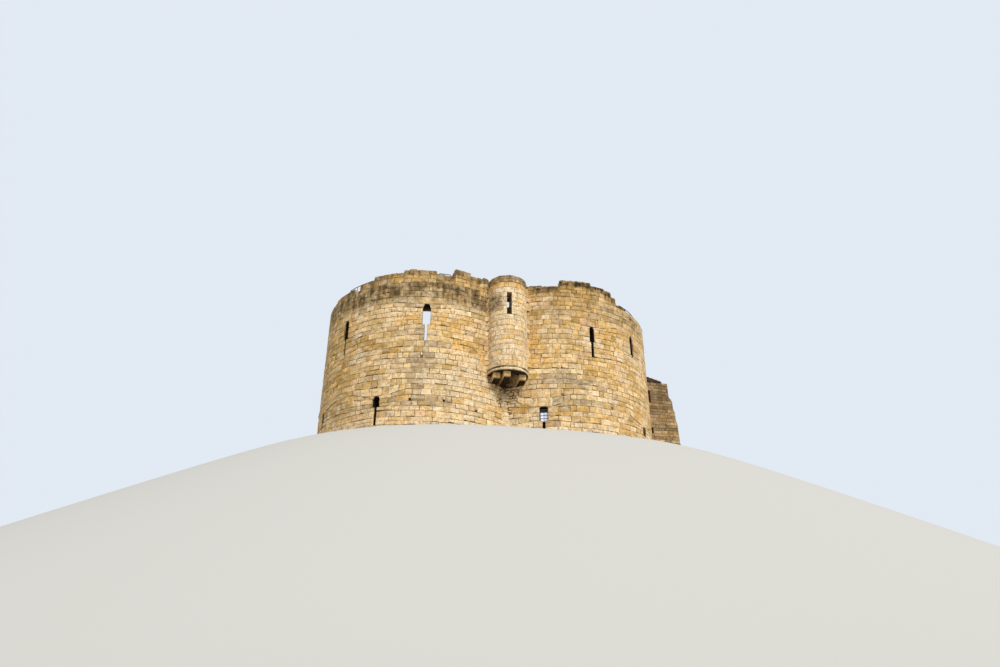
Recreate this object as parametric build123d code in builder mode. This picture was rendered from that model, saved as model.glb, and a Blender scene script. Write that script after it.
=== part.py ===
# Castle keep: a four-lobed stone tower with a turret in three of its notches
# and a gatehouse in the fourth. Millimetres, +Z up, origin on the ground at
# the middle of the four lobes. The gatehouse is towards +X, the front is -Y.
from build123d import *
import os
from collections import namedtuple
from math import cos, radians, sin, sqrt, tan

# Plan of the tower
overall_width = 24000
lobe_clear_width = 6700
lower_wall = 2900
upper_wall = 2100

# Levels
floor_top = 150
upper_storey = 4800
wall_walk = 9000

# Joints and cutters
bed_joint = 0.3
overcut = 400

# Arrow loops: a short straight reveal outside, then a splay to the inner face
loop_reveal = 450
slit_width = 150
lower_mouth_width = 1100
upper_mouth_width = 1200
lower_mouth_rise = 900
upper_mouth_rise = 750
mouth_drop = 250

# Parapet and its guard rails
parapet_thickness = 600
rail_radius = 22
post_radius = 16
rail_set_back = 300

# Turrets in the notches
turret_stand_off = 810
side_turret_set_back = 220
turret_radius = 1120
turret_bore = 640
turret_foot = 4460
turret_drum_top = 9900
turret_door_width = 700
turret_window_bearing = -96.5
turret_window_width = 270
turret_window_sill = 7620
turret_window_head = 9050
turret_overhang = 20
coping_height = 200
roll_height = 310
corbel_height = 380
corbel_width = 380
corbel_round = 230
corbel_end = 930
corbel_places = (-730, -210, 760)
guard_board_level = 9560
guard_board_height = 200
guard_board_thickness = 60
guard_board_reach = 1000

# Entrance passage through the tower wall
passage_width = 1700
passage_spring = 2100
arch_bearing = 150

# Gatehouse
gate_width = 6400
gate_side_wall = 1000
gate_inner_face = 11700
gate_wall_top = 7350
gate_door_width = 1900
gate_door_spring = 2100
gate_floor_level = 4350
gate_floor_thickness = 250
gate_slit_x = 11460
gate_slit_width = 120
gate_side_slits = ((3650, 4050), (5850, 6720))
gate_front_slit_sill = 5400
gate_front_slit_head = 6400
gate_roof_side_set_back = 200
gate_roof_front_set_back = 330
gate_roof_pitch = 40
gate_eave = 170
gate_roof_thickness = 220
# Front of the gatehouse, from the ground up: distance from the tower's middle, level
gate_front_profile = (
    (13520, 0),
    (13440, 2900),
    (13340, 3050),
    (13320, 4390),
    (13230, 4620),
    (13210, 5280),
    (13100, 5520),
    (13100, 6000),
    (12860, 6420),
    (12860, gate_wall_top),
)

# Window in the right lobes
frame_bar = 45
frame_depth = 60
pane_thickness = 10
frame_set_back = 250

Loop = namedtuple("Loop", "bearing width foot sill shoulder head")
Lobe = namedtuple("Lobe", "name x y turn")
Stretch = namedtuple("Stretch", "name first last")
Step = namedtuple("Step", "first last top")
Rail = namedtuple("Rail", "first last level posts")
Notch = namedtuple("Notch", "name turn set_back")

# Bearings are degrees about a lobe's own centre, from +X, as on the front
# lobes; the back lobes mirror them.
front_left = Lobe("front_left", -1, -1, 1)
front_right = Lobe("front_right", 1, -1, 1)
back_left = Lobe("back_left", -1, 1, -1)
back_right = Lobe("back_right", 1, 1, -1)
lobes = (front_left, front_right, back_left, back_right)

left_lower_loops = (
    Loop(-120.3, 420, 800, 1840, 2300, 2470),
    Loop(-162.0, 350, 1000, 1840, 2300, 2460),
)
left_upper_loops = (
    Loop(-97.0, 450, 5690, 6690, 7700, 7990),
    Loop(-145.0, 420, 5510, 6470, 7480, 7700),
    Loop(-175.0, 380, 5510, 6470, 7480, 7760),
)
window = Loop(-109.5, 470, 950, 1600, 2360, 2420)
right_lower_loops = (
    window,
    Loop(-44.6, 400, 1200, 1620, 2040, 2170),
)
right_upper_loops = (
    Loop(-81.8, 290, 5570, 6560, 7400, 7550),
    Loop(-51.9, 340, 6380, 6500, 7620, 7800),
)

left_lower_stretches = (
    Stretch("by_turret", 0, -106.5),
    Stretch("face", -106.5, -145),
    Stretch("flank", -145, -270),
)
left_upper_stretches = (
    Stretch("by_turret", 0, -121),
    Stretch("face", -121, -160),
    Stretch("flank", -160, -270),
)
right_lower_stretches = (
    Stretch("by_turret", -180, -85),
    Stretch("face", -85, -20),
    Stretch("by_gatehouse", -20, 90),
)
right_upper_stretches = (
    Stretch("by_turret", -180, -66.5),
    Stretch("by_gatehouse", -66.5, 90),
)

# Worn parapet tops, and the rails that guard their low stretches
left_parapet = (
    Step(0, -65.4, 10360),
    Step(-65.4, -73.8, 10220),
    Step(-73.8, -82.6, 10420),
    Step(-82.6, -92.8, 9920),
    Step(-92.8, -110, 10190),
    Step(-110, -127.4, 10050),
    Step(-127.4, -137, 9770),
    Step(-137, -141.3, 9450),
    Step(-141.3, -159, 9680),
    Step(-159, -270, 9550),
)
right_parapet = (
    Step(-180, -112, 10140),
    Step(-112, -98.8, 10090),
    Step(-98.8, -81, 10500),
    Step(-81, -72, 10340),
    Step(-72, -67.1, 10250),
    Step(-67.1, -63.9, 9950),
    Step(-63.9, -55.4, 9550),
    Step(-55.4, -51, 9300),
    Step(-51, -28, 9320),
    Step(-28, 90, 9550),
)
left_rails = (
    Rail(-84.5, -91, 10210, (-84.5, -91)),
    Rail(-129, -150, 10050, (-129, -136, -143, -150)),
)
right_rails = (
    Rail(-36, -57, 9870, (-36, -43, -50, -57)),
)

notches = (
    Notch("front", 0, 0),
    Notch("left", -90, side_turret_set_back),
    Notch("back", 180, side_turret_set_back),
)

# Worked-out sizes
lobe_inner_radius = lobe_clear_width / 2
lobe_radius = lobe_inner_radius + lower_wall
lobe_offset = (overall_width / 2 - lobe_radius) / sqrt(2)
notch_reach = lobe_offset + sqrt(lobe_radius**2 - lobe_offset**2)
turret_reach = notch_reach + turret_stand_off
gate_roof_half_width = gate_width / 2 - gate_roof_side_set_back
gate_roof_front = gate_front_profile[-1][0] - gate_roof_front_set_back


def lobe_centre(lobe):
    return Vector(lobe.x * lobe_offset, lobe.y * lobe_offset, 0)


def outward(lobe, bearing):
    angle = radians(bearing)
    return Vector(cos(angle), lobe.turn * sin(angle), 0)


def loop_plane(lobe, bearing):
    """Upright plane that touches the lobe's face: x along the wall, y up, z out."""
    way_out = outward(lobe, bearing)
    along = Vector(-way_out.Y, way_out.X, 0)
    return Plane(origin=lobe_centre(lobe) + way_out * lobe_radius, x_dir=along, z_dir=way_out)


def save(name, builder):
    builder.part.label = name
    export_step(builder.part, f"parts/{name}.step")


def interior_plan(thickness):
    """Plan of the hollow: four round bays and the crossing between them."""
    flat_face = notch_reach - thickness
    with BuildSketch() as plan:
        with GridLocations(2 * lobe_offset, 2 * lobe_offset, 2, 2):
            Circle(lobe_radius - thickness)
        Rectangle(2 * flat_face, 2 * lobe_offset)
        Rectangle(2 * lobe_offset, 2 * flat_face)
    return plan.sketch


def lobe_plan(lobe, stretch, thickness):
    """Plan of one stretch of a lobe's wall, between two bearings."""
    centre = lobe_centre(lobe)
    reach = 3 * lobe_radius
    middle = (stretch.first + stretch.last) / 2
    fan = [centre]
    for bearing in (stretch.first, middle, stretch.last):
        fan.append(centre + outward(lobe, bearing) * reach)
    with BuildSketch() as plan:
        with Locations(centre):
            Circle(lobe_radius)
        with BuildLine():
            Polyline([(point.X, point.Y) for point in fan], close=True)
        make_face(mode=Mode.INTERSECT)
        with Locations((lobe.x * overall_width / 2, lobe.y * overall_width / 2)):
            Rectangle(overall_width, overall_width, mode=Mode.INTERSECT)
        add(interior_plan(thickness), mode=Mode.SUBTRACT)
    return plan.sketch


def cut_loop(lobe, loop, thickness, mouth_width, mouth_rise):
    """Cut an arrow loop: shouldered head, wide upper light, slit below, splayed inside."""
    face = loop_plane(lobe, loop.bearing)
    half = loop.width / 2
    half_head = loop.width / 4
    half_slit = slit_width / 2
    with BuildSketch(face.offset(-loop_reveal)) as light:
        with BuildLine():
            Polyline(
                (-half_slit, loop.foot),
                (half_slit, loop.foot),
                (half_slit, loop.sill),
                (half, loop.sill),
                (half, loop.shoulder),
                (half_head, loop.head),
                (-half_head, loop.head),
                (-half, loop.shoulder),
                (-half, loop.sill),
                (-half_slit, loop.sill),
                close=True,
            )
        make_face()
    extrude(light.sketch, amount=loop_reveal + overcut, mode=Mode.SUBTRACT)
    with BuildSketch(face.offset(-loop_reveal)) as throat:
        with Locations((0, (loop.foot + loop.head) / 2)):
            Rectangle(loop.width, loop.head - loop.foot)
    mouth_foot = loop.foot - mouth_drop
    mouth_head = loop.head + mouth_rise
    with BuildSketch(face.offset(-(thickness + overcut))) as mouth:
        with Locations((0, (mouth_foot + mouth_head) / 2)):
            Rectangle(mouth_width, mouth_head - mouth_foot)
    loft([throat.sketch, mouth.sketch], mode=Mode.SUBTRACT)


def pointed_arch(width, spring, level):
    """Upright outline of a pointed opening, from a level up: two arcs on a width."""
    half = width / 2
    rise = width * sqrt(3) / 2
    with BuildSketch() as outline:
        with BuildLine():
            Line((-half, level), (half, level))
            Line((half, level), (half, spring))
            RadiusArc((half, spring), (0, spring + rise), -width)
            RadiusArc((0, spring + rise), (-half, spring), -width)
            Line((-half, spring), (-half, level))
        make_face()
    return outline.sketch


def within(stretch, loop):
    return min(stretch.first, stretch.last) < loop.bearing < max(stretch.first, stretch.last)


def lower_wall_piece(lobe, stretch, loops):
    with BuildPart() as piece:
        extrude(lobe_plan(lobe, stretch, lower_wall), amount=upper_storey)
        for loop in loops:
            if within(stretch, loop):
                cut_loop(lobe, loop, lower_wall, lower_mouth_width, lower_mouth_rise)
        if stretch.name == "by_gatehouse":
            with BuildSketch() as passage:
                Rectangle(overall_width, passage_width)
            extrude(passage.sketch, amount=passage_spring, mode=Mode.SUBTRACT)
            with BuildSketch(Plane.XY.offset(passage_spring)) as head:
                Rectangle(overall_width, passage_width + 2 * arch_bearing)
            extrude(head.sketch, amount=upper_storey - passage_spring, mode=Mode.SUBTRACT)
    save(f"{lobe.name}_lower_wall_{stretch.name}", piece)


def upper_wall_piece(lobe, stretch, loops):
    with BuildPart() as piece:
        with BuildSketch(Plane.XY.offset(upper_storey)) as plan:
            add(lobe_plan(lobe, stretch, upper_wall))
        extrude(plan.sketch, amount=wall_walk - upper_storey)
        for loop in loops:
            if within(stretch, loop):
                cut_loop(lobe, loop, upper_wall, upper_mouth_width, upper_mouth_rise)
    save(f"{lobe.name}_upper_wall_{stretch.name}", piece)


def passage_head():
    """Masonry over the entrance passage, with a pointed soffit."""
    inner = notch_reach - lower_wall
    with BuildPart() as piece:
        with BuildSketch(Plane.XY.offset(passage_spring)) as plan:
            with Locations((lobe_offset, -lobe_offset), (lobe_offset, lobe_offset)):
                Circle(lobe_radius)
            with Locations((inner, 0)):
                Rectangle(
                    overall_width,
                    passage_width + 2 * arch_bearing,
                    align=(Align.MIN, Align.CENTER),
                    mode=Mode.INTERSECT,
                )
        extrude(plan.sketch, amount=upper_storey - passage_spring)
        with BuildSketch(Plane.YZ) as soffit:
            add(pointed_arch(passage_width, passage_spring, 0))
        extrude(soffit.sketch, amount=overall_width, mode=Mode.SUBTRACT)
    save("entrance_passage_head", piece)


def notch_plane(notch):
    """Plane at the tower's middle whose -Y points out through the notch."""
    angle = radians(notch.turn)
    return Plane(origin=(0, 0, 0), x_dir=(cos(angle), sin(angle), 0), z_dir=(0, 0, 1))


def reach_of(notch):
    """Distance of a turret's own axis from the tower's middle."""
    return turret_reach - notch.set_back


def turret_room(notch):
    """Plan that the parapets leave clear: the turret and the way to its doorway."""
    outer = turret_radius + bed_joint
    reach = reach_of(notch)
    with BuildSketch(notch_plane(notch)) as plan:
        with Locations((0, -reach)):
            Circle(outer)
            Rectangle(2 * outer, reach, align=(Align.CENTER, Align.MIN))
    return plan.sketch


def parapet(lobe, steps):
    with BuildPart() as piece:
        for step in steps:
            with BuildSketch() as plan:
                add(lobe_plan(lobe, step, parapet_thickness))
                for notch in notches:
                    add(turret_room(notch), mode=Mode.SUBTRACT)
            extrude(plan.sketch.moved(Location((0, 0, wall_walk))), amount=step.top - wall_walk)
    save(f"{lobe.name}_parapet", piece)


def turret_ring(reach, outer, inner, clear_of_lobes):
    """Plan of a ring in a notch, open at the back, cut to the lobes' faces where asked."""
    with BuildSketch() as plan:
        with Locations((0, -reach)):
            Circle(outer)
        if clear_of_lobes:
            with Locations((-lobe_offset, -lobe_offset), (lobe_offset, -lobe_offset)):
                Circle(lobe_radius + bed_joint, mode=Mode.SUBTRACT)
        with Locations((0, -reach)):
            Circle(inner, mode=Mode.SUBTRACT)
            Rectangle(
                turret_door_width,
                2 * outer,
                align=(Align.CENTER, Align.MIN),
                mode=Mode.SUBTRACT,
            )
    return plan.sketch


def turret_shell(notch):
    frame = notch_plane(notch)
    reach = reach_of(notch)
    angle = radians(turret_window_bearing)
    way_out = frame.from_local_coords(Vector(cos(angle), sin(angle), 0))
    centre = frame.from_local_coords(Vector(0, -reach, 0))
    along = Vector(-way_out.Y, way_out.X, 0)
    with BuildPart() as shell:
        with BuildSketch(frame.offset(turret_foot)) as drum:
            add(turret_ring(reach, turret_radius, turret_bore, True))
        extrude(drum.sketch, amount=wall_walk - turret_foot)
        with BuildSketch(frame.offset(wall_walk)) as head:
            add(turret_ring(reach, turret_radius, turret_bore, False))
        extrude(head.sketch, amount=turret_drum_top - wall_walk)
        with BuildSketch(frame.offset(turret_drum_top)) as coping:
            with Locations((0, -reach)):
                Circle(turret_radius)
                Circle(turret_bore, mode=Mode.SUBTRACT)
            add(turret_ring(reach, turret_radius + turret_overhang, turret_bore, True))
        extrude(coping.sketch, amount=coping_height)
        with BuildSketch(Plane(origin=centre, x_dir=along, z_dir=way_out)) as slot:
            with Locations((0, (turret_window_sill + turret_window_head) / 2)):
                Rectangle(turret_window_width, turret_window_head - turret_window_sill)
        extrude(slot.sketch, amount=2 * turret_radius, mode=Mode.SUBTRACT)
    save(f"{notch.name}_turret_shell", shell)


def turret_base(notch):
    """Roll moulding under the turret on three corbels, open between them."""
    frame = notch_plane(notch)
    reach = reach_of(notch)
    roll_foot = turret_foot - roll_height
    corbel_foot = roll_foot - corbel_height
    way_out = frame.from_local_coords(Vector(0, -1, 0))
    side = frame.from_local_coords(Vector(-1, 0, 0))
    with BuildPart() as base:
        with BuildSketch(frame.offset(roll_foot)) as roll:
            add(turret_ring(reach, turret_radius + turret_overhang, turret_bore, True))
        extrude(roll.sketch, amount=roll_height)
        for place in corbel_places:
            end = reach + sqrt(corbel_end**2 - place**2)
            start = lobe_offset
            spot = frame.from_local_coords(Vector(place + corbel_width / 2, 0, 0))
            with BuildSketch(Plane(origin=spot, x_dir=way_out, z_dir=side)) as profile:
                with BuildLine():
                    Line((start, corbel_foot), (end - corbel_round, corbel_foot))
                    RadiusArc(
                        (end - corbel_round, corbel_foot),
                        (end, corbel_foot + corbel_round),
                        -corbel_round,
                    )
                    Line((end, corbel_foot + corbel_round), (end, roll_foot))
                    Line((end, roll_foot), (start, roll_foot))
                    Line((start, roll_foot), (start, corbel_foot))
                make_face()
            extrude(profile.sketch, amount=corbel_width)
        with BuildSketch(frame.offset(corbel_foot)) as faces:
            with Locations((-lobe_offset, -lobe_offset), (lobe_offset, -lobe_offset)):
                Circle(lobe_radius + bed_joint)
        extrude(faces.sketch, amount=corbel_height, mode=Mode.SUBTRACT)
    save(f"{notch.name}_turret_base", base)


def clear_lobes(level, height):
    """Cut away what lies inside the two lobes beside the gatehouse."""
    with BuildSketch(Plane.XY.offset(level)) as faces:
        with Locations((lobe_offset, -lobe_offset), (lobe_offset, lobe_offset)):
            Circle(lobe_radius + bed_joint)
    extrude(faces.sketch, amount=height, mode=Mode.SUBTRACT)


def gate_side_wall_piece(name, side):
    """Side wall with its two slits, run into the lobe's face."""
    centre_line = side * (gate_width - gate_side_wall) / 2
    with BuildPart() as piece:
        with BuildSketch() as plan:
            with Locations((lobe_offset, centre_line)):
                Rectangle(
                    gate_inner_face - lobe_offset,
                    gate_side_wall,
                    align=(Align.MIN, Align.CENTER),
                )
        extrude(plan.sketch, amount=gate_wall_top)
        clear_lobes(0, gate_wall_top)
        for sill, head in gate_side_slits:
            with BuildSketch(Plane.XY.offset(sill)) as slit:
                with Locations((gate_slit_x, centre_line)):
                    Rectangle(gate_slit_width, gate_side_wall + overcut)
            extrude(slit.sketch, amount=head - sill, mode=Mode.SUBTRACT)
    save(name, piece)


def gate_front_solid(first, last, level):
    """Front wall between two distances across the gate, from a level up."""
    with BuildPart() as solid:
        with BuildSketch(Plane.XZ.offset(-last)) as profile:
            with BuildLine():
                Polyline(
                    *gate_front_profile,
                    (gate_inner_face, gate_wall_top),
                    (gate_inner_face, 0),
                    close=True,
                )
            make_face()
            with Locations((gate_inner_face, level)):
                Rectangle(
                    overall_width,
                    overall_width,
                    align=(Align.CENTER, Align.MIN),
                    mode=Mode.INTERSECT,
                )
        extrude(profile.sketch, amount=last - first)
    return solid.part


def gate_front_jamb(name, side):
    """Front wall beside the doorway, notched to carry the masonry over it."""
    opening = gate_door_width / 2
    half = gate_width / 2
    first, last = sorted((side * opening, side * half))
    with BuildPart() as piece:
        add(gate_front_solid(first, last, 0))
        with BuildSketch(Plane.XY.offset(gate_door_spring)) as seat:
            Rectangle(2 * overall_width, gate_door_width + 2 * arch_bearing)
        extrude(seat.sketch, amount=gate_wall_top - gate_door_spring, mode=Mode.SUBTRACT)
    save(name, piece)


def gate_front_head():
    """Front wall over the doorway, with its pointed arch and a slit above."""
    half = gate_door_width / 2 + arch_bearing
    with BuildPart() as piece:
        add(gate_front_solid(-half, half, gate_door_spring))
        with BuildSketch(Plane.YZ) as openings:
            add(pointed_arch(gate_door_width, gate_door_spring, 0))
            with Locations((0, (gate_front_slit_sill + gate_front_slit_head) / 2)):
                Rectangle(gate_slit_width, gate_front_slit_head - gate_front_slit_sill)
        extrude(openings.sketch, amount=overall_width, mode=Mode.SUBTRACT)
    save("gatehouse_front_head", piece)


def gate_chamber_plan():
    """Plan between the gatehouse's walls and the lobes."""
    with BuildSketch() as plan:
        with Locations((lobe_offset, 0)):
            Rectangle(
                gate_inner_face - lobe_offset,
                gate_width - 2 * gate_side_wall,
                align=(Align.MIN, Align.CENTER),
            )
        with Locations((lobe_offset, -lobe_offset), (lobe_offset, lobe_offset)):
            Circle(lobe_radius + bed_joint, mode=Mode.SUBTRACT)
    return plan.sketch


def gatehouse_floors():
    """Paved floor from the doorway through to the tower, and the floor over it."""
    inner = notch_reach - lower_wall
    with BuildPart() as lower:
        with BuildSketch() as plan:
            add(gate_chamber_plan())
            with Locations((gate_inner_face, 0)):
                Rectangle(
                    gate_front_profile[0][0] - gate_inner_face,
                    gate_door_width,
                    align=(Align.MIN, Align.CENTER),
                )
            with Locations((inner, 0)):
                Rectangle(
                    gate_inner_face - inner,
                    passage_width,
                    align=(Align.MIN, Align.CENTER),
                )
        extrude(plan.sketch, amount=floor_top)
    save("gatehouse_floor", lower)
    with BuildPart() as upper:
        with BuildSketch(Plane.XY.offset(gate_floor_level - gate_floor_thickness)) as slab:
            add(gate_chamber_plan())
        extrude(slab.sketch, amount=gate_floor_thickness)
    save("gatehouse_upper_floor", upper)


def hipped_solid(base):
    """Solid under the hipped roof's slopes, from a level up and back into the tower."""
    pitch = radians(gate_roof_pitch)
    with BuildPart() as solid:
        with BuildSketch(Plane.YZ.offset(lobe_offset)) as gable:
            with BuildLine():
                Polyline(
                    (-gate_roof_half_width, base),
                    (gate_roof_half_width, base),
                    (0, base + gate_roof_half_width * tan(pitch)),
                    close=True,
                )
            make_face()
        extrude(gable.sketch, amount=gate_roof_front - lobe_offset)
        hip = Plane(
            origin=(gate_roof_front, 0, base),
            x_dir=(0, 1, 0),
            z_dir=(sin(pitch), 0, cos(pitch)),
        )
        split(bisect_by=hip, keep=Keep.BOTTOM)
    return solid.part


def gatehouse_roof():
    """Hipped tile roof, hollow under its slopes, butted against the lobes."""
    slope_foot = gate_wall_top + gate_eave
    hollow = hipped_solid(slope_foot - gate_roof_thickness)
    with BuildPart() as roof:
        with BuildSketch(Plane.XY.offset(gate_wall_top)) as eaves:
            with Locations((lobe_offset, 0)):
                Rectangle(
                    gate_roof_front - lobe_offset,
                    2 * gate_roof_half_width,
                    align=(Align.MIN, Align.CENTER),
                )
        extrude(eaves.sketch, amount=gate_eave)
        add(hipped_solid(slope_foot))
        add(hollow, mode=Mode.SUBTRACT)
        clear_lobes(gate_wall_top, gate_roof_half_width)
        with BuildSketch(Plane.XY.offset(gate_wall_top)) as notch:
            Rectangle(2 * notch_reach, gate_width)
        extrude(notch.sketch, amount=gate_roof_half_width, mode=Mode.SUBTRACT)
    save("gatehouse_roof", roof)


def ground_floor():
    with BuildPart() as floor:
        extrude(interior_plan(lower_wall), amount=floor_top)
    save("ground_floor", floor)


def parapet_top(steps, bearing):
    for step in steps:
        if step.last <= bearing <= step.first or step.first <= bearing <= step.last:
            return step.top
    raise ValueError(f"no parapet at bearing {bearing}")


def guard_rails(lobe, rails, steps):
    """Round rails on posts that stand on the low stretches of a parapet."""
    centre = lobe_centre(lobe)
    radius = lobe_radius - rail_set_back
    with BuildPart() as work:
        for rail in rails:
            start = min(lobe.turn * rail.first, lobe.turn * rail.last)
            way_out = Vector(cos(radians(start)), sin(radians(start)), 0)
            side = way_out.cross(Vector(0, 0, 1))
            with BuildSketch(Plane(origin=centre, x_dir=way_out, z_dir=side)) as section:
                with Locations((radius, rail.level)):
                    Circle(rail_radius)
            axis = Axis((centre.X, centre.Y, 0), (0, 0, 1))
            revolve(section.sketch, axis=axis, revolution_arc=abs(rail.last - rail.first))
            for bearing in rail.posts:
                foot = centre + outward(lobe, bearing) * radius
                level = parapet_top(steps, bearing)
                with BuildSketch(Plane.XY.offset(level)) as post:
                    with Locations((foot.X, foot.Y)):
                        Circle(post_radius)
                extrude(post.sketch, amount=rail.level - level)
    return work.part


def guard_board(notch):
    """Flat board across the turret's doorway on the wall walk."""
    frame = notch_plane(notch)
    with BuildPart() as board:
        with BuildSketch(frame.offset(guard_board_level)) as plan:
            with Locations((0, guard_board_reach - reach_of(notch))):
                Rectangle(turret_door_width, guard_board_thickness)
        extrude(plan.sketch, amount=guard_board_height)
    return board.part


def window_block(lobe, inset, thickness):
    """Upright block that fills the window's light, smaller by an inset, mid-frame."""
    face = loop_plane(lobe, window.bearing)
    middle = frame_set_back + frame_depth / 2
    with BuildPart() as block:
        with BuildSketch(face.offset(-middle)) as plan:
            with Locations((0, (window.shoulder + window.sill) / 2)):
                Rectangle(
                    window.width - 2 * inset,
                    window.shoulder - window.sill - 2 * inset,
                )
        extrude(plan.sketch, amount=thickness / 2, both=True)
    return block.part


def windows():
    with BuildPart() as frames:
        for lobe in (front_right, back_right):
            add(window_block(lobe, bed_joint, frame_depth))
            add(window_block(lobe, frame_bar, 2 * frame_depth), mode=Mode.SUBTRACT)
    save("window_frames", frames)
    with BuildPart() as panes:
        for lobe in (front_right, back_right):
            add(window_block(lobe, frame_bar, pane_thickness))
    save("window_panes", panes)


os.makedirs("parts", exist_ok=True)

for lobe in lobes:
    left = lobe.x < 0
    for stretch in left_lower_stretches if left else right_lower_stretches:
        lower_wall_piece(lobe, stretch, left_lower_loops if left else right_lower_loops)
    for stretch in left_upper_stretches if left else right_upper_stretches:
        upper_wall_piece(lobe, stretch, left_upper_loops if left else right_upper_loops)
    parapet(lobe, left_parapet if left else right_parapet)

for notch in notches:
    turret_base(notch)
    turret_shell(notch)

with BuildPart() as guards:
    for lobe in (front_left, back_left):
        add(guard_rails(lobe, left_rails, left_parapet))
    for lobe in (front_right, back_right):
        add(guard_rails(lobe, right_rails, right_parapet))
    for notch in notches:
        add(guard_board(notch))
save("guard_rails", guards)

passage_head()
gate_side_wall_piece("gatehouse_side_wall_front", -1)
gate_side_wall_piece("gatehouse_side_wall_back", 1)
gate_front_jamb("gatehouse_front_jamb_front", -1)
gate_front_jamb("gatehouse_front_jamb_back", 1)
gate_front_head()
gatehouse_floors()
gatehouse_roof()
ground_floor()
windows()
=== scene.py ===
# Looks of the castle keep: each facing stone, flag, tile and bar, laid on the
# packed walls and weathered as the real ones are, with shade painted into voids,
# loops, grooves and undersides. Metres, +Z up, front -Y, gatehouse towards +X.
# The walls of the frame are the mortar bed behind them.
from collections import namedtuple
from functools import partial
from math import acos, asin, atan2, cos, degrees, hypot, pi, radians, sin, sqrt

import bpy
import numpy as np
from mathutils import Matrix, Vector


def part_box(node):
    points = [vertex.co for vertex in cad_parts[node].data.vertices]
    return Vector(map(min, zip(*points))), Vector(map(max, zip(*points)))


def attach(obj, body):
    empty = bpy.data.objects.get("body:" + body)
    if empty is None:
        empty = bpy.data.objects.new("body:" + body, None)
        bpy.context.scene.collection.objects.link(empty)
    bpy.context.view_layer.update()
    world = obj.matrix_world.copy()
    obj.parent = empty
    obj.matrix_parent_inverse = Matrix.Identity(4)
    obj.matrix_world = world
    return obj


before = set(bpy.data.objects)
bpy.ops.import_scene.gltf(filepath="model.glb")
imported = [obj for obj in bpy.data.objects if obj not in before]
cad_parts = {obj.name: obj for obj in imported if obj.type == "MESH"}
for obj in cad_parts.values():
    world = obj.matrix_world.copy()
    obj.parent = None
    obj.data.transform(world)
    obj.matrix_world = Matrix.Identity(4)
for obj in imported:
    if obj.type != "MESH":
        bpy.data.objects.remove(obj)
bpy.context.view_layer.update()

# Tower sizes
lobe_radius = 6.25
lower_wall = 2.9
upper_wall = 2.1
parapet_thickness = 0.6
lobe_offset = -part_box("front_left_lower_wall_flank")[0].x - lobe_radius
notch_reach = lobe_offset + sqrt(lobe_radius**2 - lobe_offset**2)
floor_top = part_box("ground_floor")[1].z
upper_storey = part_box("front_left_upper_wall_face")[0].z
wall_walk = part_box("front_left_upper_wall_face")[1].z
plinth_top = 1.2
string_level = 5.05
parapet_line = 9.39

# Wear: its levels, and the bearing and level of a hollowed stone on the left lobes
dark_band_foot = 7.9
scar_foot = 2.05
scar_level = 3.1
corner_stones = (0, 2.3, 3.4)
sound_top = 10.0
hollow_stone = (-91.3, 4.75)
smooth_below = 9.75

# Turret sizes
turret_radius = 1.12
turret_overhang = 0.02
turret_bore = 0.64
turret_door_half = 0.35
turret_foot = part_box("front_turret_shell")[0].z
turret_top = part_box("front_turret_shell")[1].z
rubble_foot = turret_top - 0.36
roll_foot = turret_foot - 0.31
turret_reach = -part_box("front_turret_shell")[0].y - turret_radius - turret_overhang
side_set_back = 0.22
turret_window = (-96.5, 0.27, 7.62, 9.05)  # bearing, width, sill, head
turret_pale = 8.35
turret_golden = 9.3
turret_low_courses = 9.45

# Gatehouse sizes
gate_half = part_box("gatehouse_side_wall_back")[1].y
gate_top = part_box("gatehouse_side_wall_back")[1].z
gate_door_half = 0.95
gate_door_spring = 2.1
gate_slit_x = 11.46
gate_slit_half = 0.06
gate_side_slits = ((3.65, 4.05), (5.85, 6.72))
gate_front_slit = (5.4, 6.4)
passage_half = 0.85
roof_pitch = radians(40)
roof_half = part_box("gatehouse_roof")[1].y
roof_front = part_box("gatehouse_roof")[1].x
roof_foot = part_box("gatehouse_roof")[0].z + 0.17
gate_profile = (
    (0, 13.52), (2.9, 13.44), (3.05, 13.34), (4.39, 13.32), (4.62, 13.23),
    (5.28, 13.21), (5.52, 13.10), (6.0, 13.10), (6.42, 12.86), (gate_top, 12.86),
)

# How stones are laid
joint = 0.014
arris = 0.014
proud = 0.042
bedded = 0.02
bed_sway = 0.012
fade_tall = 0.5
fade_wide = 1.2
crown_reach = 0.28
shortest = 0.1
seam_clear = 0.4
joint_clear = 0.06
joint_shift = 0.1
least_gap = 0.1
end_clear = 0.08
lintel_clear = 0.12
edge_wobble = 0.004
face_wobble = 0.0035
chipped_share = 0.05
chip_depth = 0.012
least_stand = 0.003
brightest = 0.92
mortar_seam = 0.03
UP = np.array([0, 0, 1])

# Linear colours of the stones
CREAM = (0.87, 0.62, 0.32)
PALE = (0.92, 0.74, 0.50)
GOLDEN = (0.76, 0.45, 0.13)
GREY = (0.46, 0.34, 0.21)
PINK = (0.80, 0.48, 0.27)
OCHRE = (0.50, 0.29, 0.07)
BROWN = (0.31, 0.20, 0.10)
# Near-black for open joints, drain holes and the gaps behind rough stones: painted shade in those voids.
HOLE_SHADE = (0.012, 0.009, 0.006)
palette = np.array([CREAM, PALE, GOLDEN, GREY, PINK, OCHRE, BROWN])
kinds = {"cream": 0, "pale": 1, "golden": 2, "grey": 3, "pink": 4, "ochre": 5, "brown": 6}
limestone_mix = {"cream": 0.47, "pale": 0.22, "golden": 0.12, "grey": 0.08, "pink": 0.03, "ochre": 0.04}
inside_mix = {"cream": 0.3, "pale": 0.1, "golden": 0.15, "grey": 0.35, "brown": 0.2}
gate_mix = {"grey": 0.46, "brown": 0.46, "cream": 0.02, "ochre": 0.1}
rubble_mix = {"grey": 0.4, "brown": 0.22, "golden": 0.18, "cream": 0.24}
scar_mix = {"cream": 0.45, "pale": 0.15, "grey": 0.2, "golden": 0.2}
turret_mix = {"cream": 0.26, "pale": 0.6, "golden": 0.14}
parapet_mix = {"golden": 0.5, "ochre": 0.2, "cream": 0.2, "grey": 0.1}
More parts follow.
